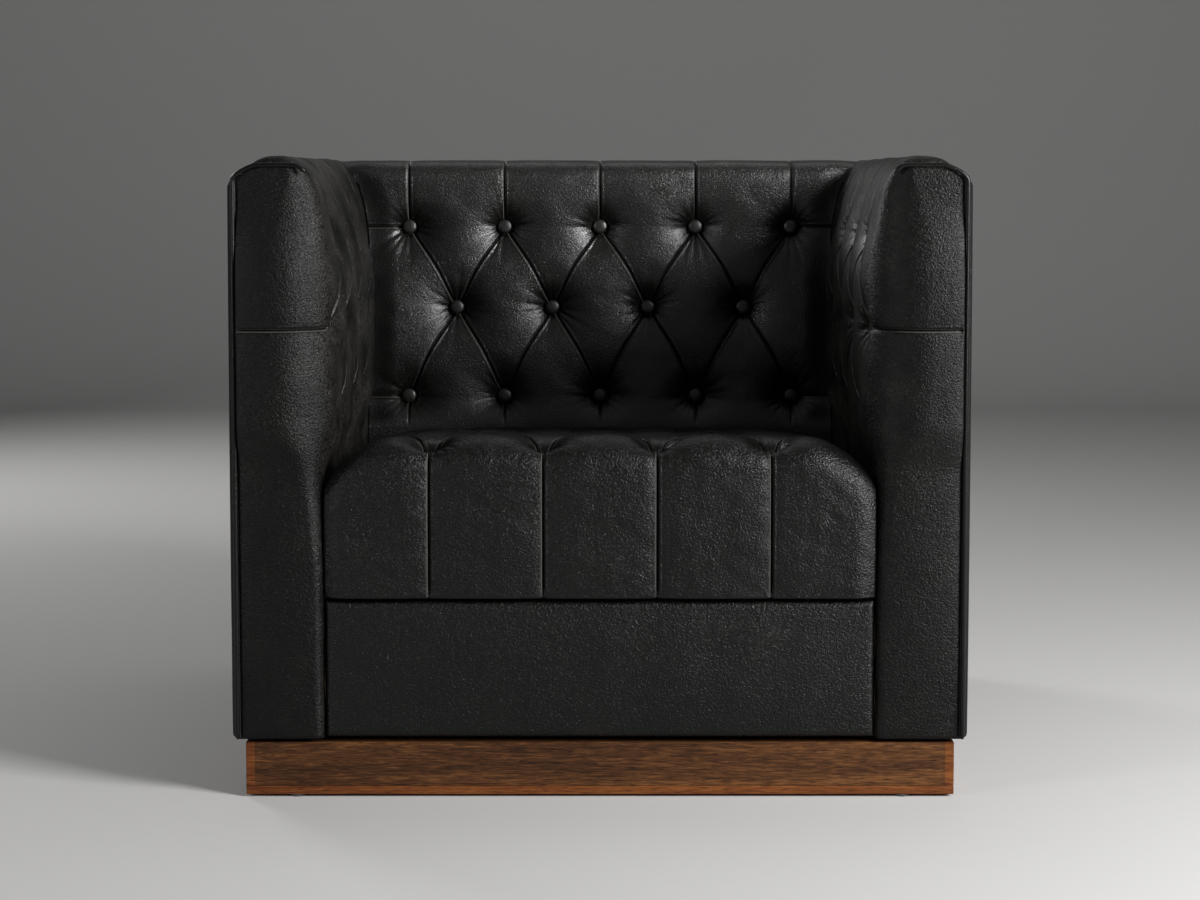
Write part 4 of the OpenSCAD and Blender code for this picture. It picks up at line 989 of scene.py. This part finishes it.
# Shares of a length: even steps, mixed with 0.5 - 0.5 cos(pi t), which crowds or spreads the ends
def panelSteps(length):
    even = np.linspace(0, 1, max(2, int(length / panels["cell"])))
    bent = 0.5 - 0.5 * np.cos(np.pi * mix(even, ease(even), panels["crowdBend"]))
    return np.clip(mix(even, bent, panels["crowd"]), 0, 1)


# Panel of two shares: its thickness is a quarter-round at the border, plus a crown, less small
# puckers that run down and in from the upper corners, as (0.5 + 0.5 cos(n angle))^2
def makePanel(width, height, thick, rise, pinch, seed):
    p, s, t = panels, panelSteps(width)[None, :], panelSteps(height)[:, None]
    inX, inZ = np.minimum(s, 1 - s) * width, np.minimum(t, 1 - t) * height
    rim = np.sqrt(1 - (1 - np.clip(np.minimum(inX, inZ) / p["edgeRound"], 0, 1)) ** 2)
    away = ease(inX / p["unevenEdge"]) * ease(inZ / p["unevenEdge"])
    depth = (thick * mix(p["edgeShare"], 1, rim) + rise * crown(s) * crown(t)
             + p["uneven"] * undulation(s * width, t * height, p["wavelength"], seed) * away)
    for corner in (0, 1):
        dx, dz = np.abs(s - corner) * width, (1 - t) * height
        r, angle = np.hypot(dx, dz), np.arctan2(dx, dz + 1e-6)
        rays = (0.5 + 0.5 * np.cos(p["pinchCount"] * angle + 1.0 + 2 * corner)) ** 2
        depth = depth - pinch * rays * ease((r - 4) / 8) * np.exp(-(r / p["pinchReach"]) ** 1.5)
    points = spread(s * width, -depth, t * height)
    return closeGrid(points, borderOf(points) * [1, 0, 1], [width / 2, 0, height / 2])


# Turns a mesh, made facing -Y, to its place: quarter turns about Z, then a shift
def placed(mesh, quarter, shift):
    points, faces = mesh
    c, s = quarterTurns[quarter]
    x, y, z = np.transpose(points)
    return spread(x * c - y * s, x * s + y * c, z) + shift, faces


sideLength = body["rear"] + panels["past"] - body["padFront"]
sideCorner = (body["frameOut"], body["padFront"])
for name, form, width, top, seed, quarter, corner, finish, node in (
        ("frontRailLeather", "rail", 2 * body["seatSide"], panels["railTop"], 41, 0,
         (-body["seatSide"], body["front"]), blackLeather, "front_rail_cover"),
        ("rightOutsideLeather", "side", sideLength, body["panelTop"], 43, 1, sideCorner,
         panelLeather, "right_outside_panel"),
        ("leftOutsideLeather", "side", sideLength, body["panelTop"], 47, 1, sideCorner,
         panelLeather, "left_outside_panel"),
        ("outsideBackLeather", "rear", 2 * body["frameOut"], body["panelTop"], 53, 2,
         (body["frameOut"], body["rear"]), panelLeather, "outside_back_panel")):
    panel = placed(makePanel(width, top - body["deckZ"], *panels[form], seed), quarter,
                   [*corner, body["deckZ"]])
    addPiece(name, mirrored(panel) if name.startswith("left") else panel, finish,
             [node])


button = {
    "radius": 9.8, "thickness": 3.0, "dome": 2.2, "seat": 6.0, "shank": 3.5, "rim": 1.5,
    "sides": 32, "gather": 0.012, "gathers": 8, "sunk": 6.5, "frontSunk": 12.0, "tilt": 0.09,
}


# Revolved profile: a shank, a rolled rim, and a dome with faint gathers at the rim, whose
# radius is multiplied by 1 + gather cos(n angle)
def makeButton(seed):
    p, rim, base = button, button["rim"], button["seat"] + button["rim"]
    a, roll = np.linspace(0, np.pi / 2, 9)[:-1], np.linspace(-np.pi / 2, 0, 5)[:-1]
    radii = column([p["shank"], p["radius"] - 2 * rim], p["radius"] - rim + rim * np.cos(roll),
                   p["radius"] * np.cos(a) ** 0.8)
    heights = column([1.0, p["seat"] - 0.4], base + rim * np.sin(roll),
                     base + (p["thickness"] - rim + p["dome"]) * np.sin(a) ** 0.9)
    angle = 2 * np.pi * np.arange(p["sides"]) / p["sides"]
    phase = np.random.default_rng(seed).uniform(0, 2 * np.pi)
    fading = np.linspace(1, 0, len(radii))[:, None]
    ring = radii * (1 + p["gather"] * np.cos(p["gathers"] * angle + phase) * fading)
    return closeRings(spread(ring * np.cos(angle), ring * np.sin(angle), heights),
                      [0, 0, 0.5], [0, 0, p["seat"] + p["thickness"] + p["dome"]])


# Sets a button, made along Z, so that it points along the given direction
def setButton(mesh, place, direction):
    points, faces = mesh
    out = np.asarray(direction, float)
    out /= np.linalg.norm(out)
    side = np.cross([0, 0, 1.0], out)
    side /= np.linalg.norm(side)
    return points @ np.array([side, np.cross(out, side), out]) + place, faces


# Where the buttons of the back sit: sunk into the leaning field, by the depth of its pits
def backSpot(c, v):
    z = backPad["rows"][v]
    return [c * pitch, body["backFront"] + leanAt(z) + backPad["pitDepth"] + button["sunk"], z]


# Where those of the right arm sit: the pits fade towards the back, and the front one is deeper
def armSpot(k, v):
    y, z = armPad["firstTuft"] + k * pitch, armPad["rows"][v]
    depth = armPad["pitDepth"] * ease(
        (body["backFront"] - y) / (body["backFront"] - armPad["lastTuft"]))
    sunk = button["frontSunk"] if k == 0 else button["sunk"]
    return [archPlace(z) - armBulge(y, z) + depth + sunk, y, z]


backSet = joined([
    setButton(makeButton(100 + c * 3 + v), backSpot(c, v), [0, -1, button["tilt"]])
    for c, v in tufts(range(-backPad["columns"], backPad["columns"] + 1), 3)])
armSet = joined([setButton(makeButton(200 + k * 3 + v), armSpot(k, v), [-1, 0, 0])
                 for k, v in tufts(range(armPad["lastColumn"] + 1), 3, 1)])
for name, mesh, node in (("backButtonSet", backSet, "back_buttons"),
                         ("rightArmButtonSet", armSet, "right_arm_buttons"),
                         ("leftArmButtonSet", mirrored(armSet), "left_arm_buttons")):
    addPiece(name, mesh, paintedLightButtonLeather, [node])


piping = {
    "radius": 2.8, "outX": 423.3, "rearY": 388.3, "topZ": 725.3, "faceY": 391.3, "footZ": 70.5,
    "corner": 8.0, "step": 2.0, "endRadius": 0.45, "endLength": 6.0,
    "ripple": 0.06, "ripples": (9.1, 5.3, 23.0), "levelZ": 739.5, "bendX": 396.0,
    "cornerDrop": 19.5, "hookX": 339.0, "hookWidth": 15.0, "hookDrop": 9.0,
}


# A polyline is walked in even steps. Its radius ripples a little, by the mean of three sines,
# as leather over cord does, and shrinks towards both ends.
def makePiping(knots, normal, seed):
    p = piping
    lengths = np.concatenate([[0], np.cumsum(np.linalg.norm(np.diff(knots, axis=0), axis=1))])
    s = np.linspace(0, lengths[-1], int(lengths[-1] / p["step"]) + 2)
    path = np.stack([np.interp(s, lengths, axis) for axis in np.transpose(knots)], 1)
    phases = np.random.default_rng(seed).uniform(0, 2 * np.pi, 3)
    ripple = sum(np.sin(s / wavelength + phase)
                 for wavelength, phase in zip(p["ripples"], phases)) / 3
    ending = np.minimum(1, p["endRadius"] + np.minimum(s, lengths[-1] - s) / p["endLength"])
    return tube(path, (p["radius"] + p["ripple"] * ripple) * ending, normal)


# Height of the piping over the arm front: level, with a rounded outer corner and a hook that
# drops as a power of the way past its start
def weltLine(x):
    p = piping
    outward = np.clip((x - p["bendX"]) / (p["outX"] - p["bendX"]), 0, 1)
    hooked = np.clip((p["hookX"] + p["hookWidth"] - x) / p["hookWidth"], 0, 1)
    return (p["levelZ"] - p["cornerDrop"] * (1 - np.sqrt(1 - outward ** 1.05))
            - p["hookDrop"] * hooked ** 2.2)


# The three paths: round the top, over and down an arm front, and down a rear corner
def pipingPaths():
    p, turn = piping, np.linspace(0, np.pi / 2, 9)
    half = np.concatenate([[[p["outX"], body["padFront"], p["topZ"]]], spread(
        p["outX"] - p["corner"] + p["corner"] * np.cos(turn),
        p["rearY"] - p["corner"] + p["corner"] * np.sin(turn), p["topZ"])])
    bend = np.sin(np.linspace(0, np.pi / 2, 14)) * (p["outX"] - p["bendX"]) + p["bendX"]
    x = np.concatenate([np.linspace(p["hookX"], p["hookX"] + p["hookWidth"], 12),
                        [p["bendX"] - 12], bend])
    front = np.concatenate([spread(x, -p["faceY"], weltLine(x)),
                            [[p["outX"], -p["faceY"], p["footZ"]]]])
    rear = [[p["outX"], p["faceY"], z] for z in (p["footZ"], body["shelfZ"])]
    return np.concatenate([half, half[::-1] * [-1, 1, 1]]), front, rear


topPath, frontPath, rearPath = pipingPaths()
frontPiping, rearPiping = makePiping(frontPath, [0, 1, 0], 67), makePiping(rearPath, [0, 1, 0], 71)
for name, mesh, node in (
        ("topPiping", makePiping(topPath, [0, 0, 1], 61), "top_welt"),
        ("rightFrontPiping", frontPiping, "right_front_welt"),
        ("leftFrontPiping", mirrored(frontPiping), "left_front_welt"),
        ("rearCornerPiping", joined([rearPiping, mirrored(rearPiping)]), "rear_corner_welts")):
    addPiece(name, mesh, pipingLeather, [node])


plinth = {"sizes": (830.0, 766.0), "low": 3.0, "high": 65.0, "board": 22.0, "lipping": 10.0,
          "bevel": 0.9}


# Mitred board as a prism: a trapezium in plan, the long side outwards, between two heights
def makeBoard(length, low, high):
    half, b = length / 2, plinth["board"]
    plan = [[-half, 0], [half, 0], [half - b, b], [b - half, b]]
    points = [[x, y, z] for z in (low, high) for x, y in plan]
    return points, [
        [0, 1, 5, 4], [1, 2, 6, 5], [2, 3, 7, 6], [3, 0, 4, 7], [3, 2, 1, 0], [4, 5, 6, 7]]


split = plinth["low"] + plinth["lipping"]
for quarter, side in enumerate(("Front", "Right", "Rear", "Left")):
    length, offset = plinth["sizes"][quarter % 2], plinth["sizes"][1 - quarter % 2] / 2
    c, s = quarterTurns[quarter]
    for part, grade, low, high in (("Board", "walnut", split, plinth["high"]),
                                   ("Lipping", "lipping", plinth["low"], split)):
        board = addPiece(
            "plinth" + side + part,
            placed(makeBoard(length, low, high), quarter, [s * offset, -c * offset, 0]),
            boardFinishes[grade + "XY"[quarter % 2]],
            ["plinth_" + side.lower() + "_board"], ridesOn="base", smooth=False)
        bevel = board.modifiers.new("edges", "BEVEL")
        bevel.width = plinth["bevel"] * 0.001
        bevel.segments = 3


creamFoam = foam("creamFoam", (0.72, 0.66, 0.46))
springFelt = cloth("springFelt", (0.34, 0.30, 0.22), 400.0)
slabForm = {"power": 0.22, "sides": 64, "rings": 32}
# Each soft block: its node, how far it is inset from the sides of the node's box, and its fill
slabs = {
    "seatFoamBlock": ("seat_foam", (8, 8, 2, 8), 0.9),
    "backFoamBlock": ("back_foam", (6, 6, 8, 0), 0.9),
    "rightFoamBlock": ("right_arm_foam", (3, 0, 6, 6), 0.9),
    "leftFoamBlock": ("left_arm_foam", (0, 3, 6, 6), 0.9),
    "springFeltPad": ("spring_felt", (1, 1, 1, 1), 1.0),
}


# The value's size raised to the slab's power, with its own sign
def squarish(value):
    return np.sign(value) * np.abs(value) ** slabForm["power"]


# Soft block with rounded edges: a superellipsoid, which is a ball whose sines and cosines are
# raised to a small power
def makeSlab(low, high):
    around = np.linspace(0, 2 * np.pi, slabForm["sides"], endpoint=False)[None, :]
    up = np.linspace(-np.pi / 2, np.pi / 2, slabForm["rings"])[1:-1, None]
    middle, half = (low + high) / 2, (high - low) / 2
    ball = spread(squarish(np.cos(up)) * squarish(np.cos(around)),
                  squarish(np.cos(up)) * squarish(np.sin(around)), squarish(np.sin(up)))
    return closeRings(middle + half * ball, [middle[0], middle[1], low[2]],
                      [middle[0], middle[1], high[2]])


# Low and high corner of a node's box, in millimetres
def boxOf(node):
    return [np.array(corner) * 1000 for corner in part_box(node)]


for name, (node, inset, fill) in slabs.items():
    low, high = boxOf(node)
    slab = makeSlab(low + [inset[0], inset[2], 0], high - [inset[1], inset[3], 0])
    finish, slot = (springFelt, "felt") if node == "spring_felt" else (creamFoam, "foam")
    addPiece(name, slab, finish, [node])


dustCover = {"thickness": 0.6, "below": 0.1, "sag": 0.5, "sagStart": 60.0, "hole": 150.3,
             "edge": 2.0, "cells": 20}


# Dust cover: a thin stretched sheet under the deck with a square opening for the swivel. Its
# cloth sags a little between its edges, as the product of two roundnesses. Its walls stand on
# the edges that only one face of the sheet has.
def makeDustCover():
    p = dustCover
    low, high = boxOf("dust_cover")
    x, y = (steps([low[a] + p["edge"], -p["hole"], p["hole"], high[a] - p["edge"]],
                  [p["cells"]] * 3) for a in (0, 1))
    keep = [np.abs(v[:-1] + v[1:]) / 2 >= p["hole"] for v in (x, y)]
    keep = (keep[0][None, :] | keep[1][:, None]).ravel()
    faces = gridFaces(len(y), len(x))[np.tile(keep, 2)]
    x, y = x[None, :], y[:, None]
    across = crown((x - x.min()) / np.ptp(x)) * crown((y - y.min()) / np.ptp(y))
    z = high[2] - p["thickness"] - p["below"] - p["sag"] * across * ease(
        (np.maximum(np.abs(x), np.abs(y)) - p["hole"]) / p["sagStart"])
    under = spread(x, y, z).reshape(-1, 3)
    n = len(under)
    edges = np.concatenate([faces[:, [0, 1]], faces[:, [1, 2]], faces[:, [2, 0]]])
    known = set(map(tuple, edges))
    a, b = np.array([edge for edge in edges if (edge[1], edge[0]) not in known]).T
    walls = np.concatenate([np.stack([a + n, a, b], 1), np.stack([b + n, a + n, b], 1)])
    points = np.concatenate([under, under + [0, 0, p["thickness"]]])
    return trimmed(points, np.concatenate([faces[:, ::-1], faces + n, walls]))[0]


dustCloth = cloth("dustCloth", (0.018, 0.018, 0.02), 700.0)
cover = addPiece("dustCoverCloth", makeDustCover(), dustCloth, ["dust_cover"])


beech = ((0.33, 0.205, 0.11), (0.50, 0.34, 0.20))
# Finishes of the parts that stay as the frame has them
partFinishes = (
    (timber("blockTimber", "z", beech), ("plinth_corner_blocks", "seat_corner_blocks")),
    (timber("crossRailTimber", "x", beech), ("plinth_cross_rails",)),
    (timber("deckPlywood", "x", ((0.36, 0.24, 0.13), (0.52, 0.38, 0.22))), ("deck_board",)),
    (timber("railTimberX", "x", beech), ("front_seat_rail", "rear_seat_rail", "back_top_board")),
    (timber("railTimberY", "y", beech),
     ("left_seat_rail", "right_seat_rail", "left_arm_rail", "right_arm_rail")),
    (timber("postTimber", "z", beech),
     ("left_arm_posts", "right_arm_posts", "back_posts", "back_slats")),
    (metal("glidePlastic", (0.05, 0.05, 0.052), 0.45, 90.0, 0.0), ("floor_glides",)),
    (metal("zincSteel", (0.55, 0.56, 0.57), 0.32),
     ("swivel_lower_plate", "swivel_upper_plate", "king_pin", "king_pin_washer", "king_pin_nut",
      "lower_plate_screws", "upper_plate_screws", "spring_clips")),
    (metal("raceSteel", (0.60, 0.60, 0.61), 0.20, 40.0),
     ("swivel_lower_race", "swivel_upper_race")),
    (metal("ballSteel", (0.72, 0.72, 0.73), 0.08, 30.0), ("swivel_balls",)),
    (metal("cageBrass", (0.70, 0.47, 0.18), 0.30), ("swivel_ball_cage",)),
    (metal("springSteel", (0.30, 0.30, 0.31), 0.38), ("seat_springs",)),
)
for finish, nodeNames in partFinishes:
    for nodeName in nodeNames:
        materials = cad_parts[nodeName].data.materials
        materials.clear()
        materials.append(finish)
print("frame parts finished")


studio = {
    "floor": (0.52, 0.515, 0.51), "halfWidth": 9000.0, "frontY": -9000.0, "backdropY": 6500.0,
    "backdropBend": 2000.0, "backdropTop": 7000.0, "world": 0.06, "shown": (0.16, 0.159, 0.157),
}


# Floor that bends up into a backdrop, as a quarter circle: a profile along Y, carried along X
def makeStage():
    bend, radius = np.linspace(0, np.pi / 2, 24), studio["backdropBend"]
    y = column([studio["frontY"]], studio["backdropY"] - radius + radius * np.sin(bend),
               [studio["backdropY"]])
    z = column([0], radius - radius * np.cos(bend), [studio["backdropTop"]])
    points = spread([-studio["halfWidth"], studio["halfWidth"]], y, z)
    return points.reshape(-1, 3), gridFaces(len(y), 2)


f = newFinish("studioPaper")
paper = f.done(
    Base_Color=f.blend(f.noise(30.0, 2), studio["floor"], dimmed(studio["floor"], 1.02)),
    Roughness=0.9, Specular_IOR_Level=0.1)
addObject("studioFloor", makeStage(), paper)

# The air lights the chair with a weak white, and shows as grey to the camera, in reflections
# and through things
f = Finish(bpy.data.worlds.new("studioAir"))
camera, glossy, through = (f.node("LightPath", {}, {}, "Is " + ray + " Ray")
                           for ray in ("Camera", "Glossy", "Transmission"))
lit, shown = (f.node("Background", {}, {"Color": (*colour, 1), "Strength": strength})
              for colour, strength in (((1, 1, 1), studio["world"]), (studio["shown"], 1)))
seen = f.sum("MAXIMUM", f.sum("MAXIMUM", camera, glossy), through)
f.node("OutputWorld", {}, {
    "Surface": f.node("MixShader", {}, {0: seen, 1: lit, 2: shown})}, None)
bpy.context.scene.world = f.owner

# Each lamp: its place, what it points at, its size and its power in watts
lamps = {
    "rightSoftbox": ((2.3, -1.9, 1.46), (0, 0.1, 0.5), (1.0, 1.3), 165),
    "leftSoftbox": ((-2.3, -2.0, 1.1), (0, -0.3, 0.4), (0.4, 1.2), 20),
    "overhead": ((0.2, 0.8, 2.8), (0, 0.0, 0.5), (2.0, 1.2), 9),
    "rearSoftbox": ((-2.4, 2.6, 1.9), (0, 0.3, 0.4), (1.0, 1.2), 44),
}


# Links an object that looks along its own -Z: tipped up by 90 degrees and the pitch, then
# turned round Z
def placeStudio(made, at, pitchUp, turn=0.0):
    made.location = at
    made.rotation_euler = (math.pi / 2 + pitchUp, 0, turn)
    bpy.context.scene.collection.objects.link(made)
    return made


for name, (at, target, size, power) in lamps.items():
    lamp = bpy.data.lights.new(name, "AREA")
    lamp.shape = "RECTANGLE"
    lamp.size, lamp.size_y = size
    lamp.energy = power
    x, y, z = (b - a for a, b in zip(at, target))
    placeStudio(bpy.data.objects.new(name, lamp), at, math.atan2(z, math.hypot(x, y)),
                math.atan2(-x, y))

view = {"at": (0, -3.1976, 0.7208), "pitch": -4.06, "lens": 73.07, "shiftY": -0.08}
cameraData = bpy.data.cameras.new("studioCamera")
cameraData.lens = view["lens"]
cameraData.sensor_width = 36
cameraData.shift_y = view["shiftY"]
bpy.context.scene.camera = placeStudio(
    bpy.data.objects.new("studioCamera", cameraData), view["at"], math.radians(view["pitch"]))
print("studio ready")
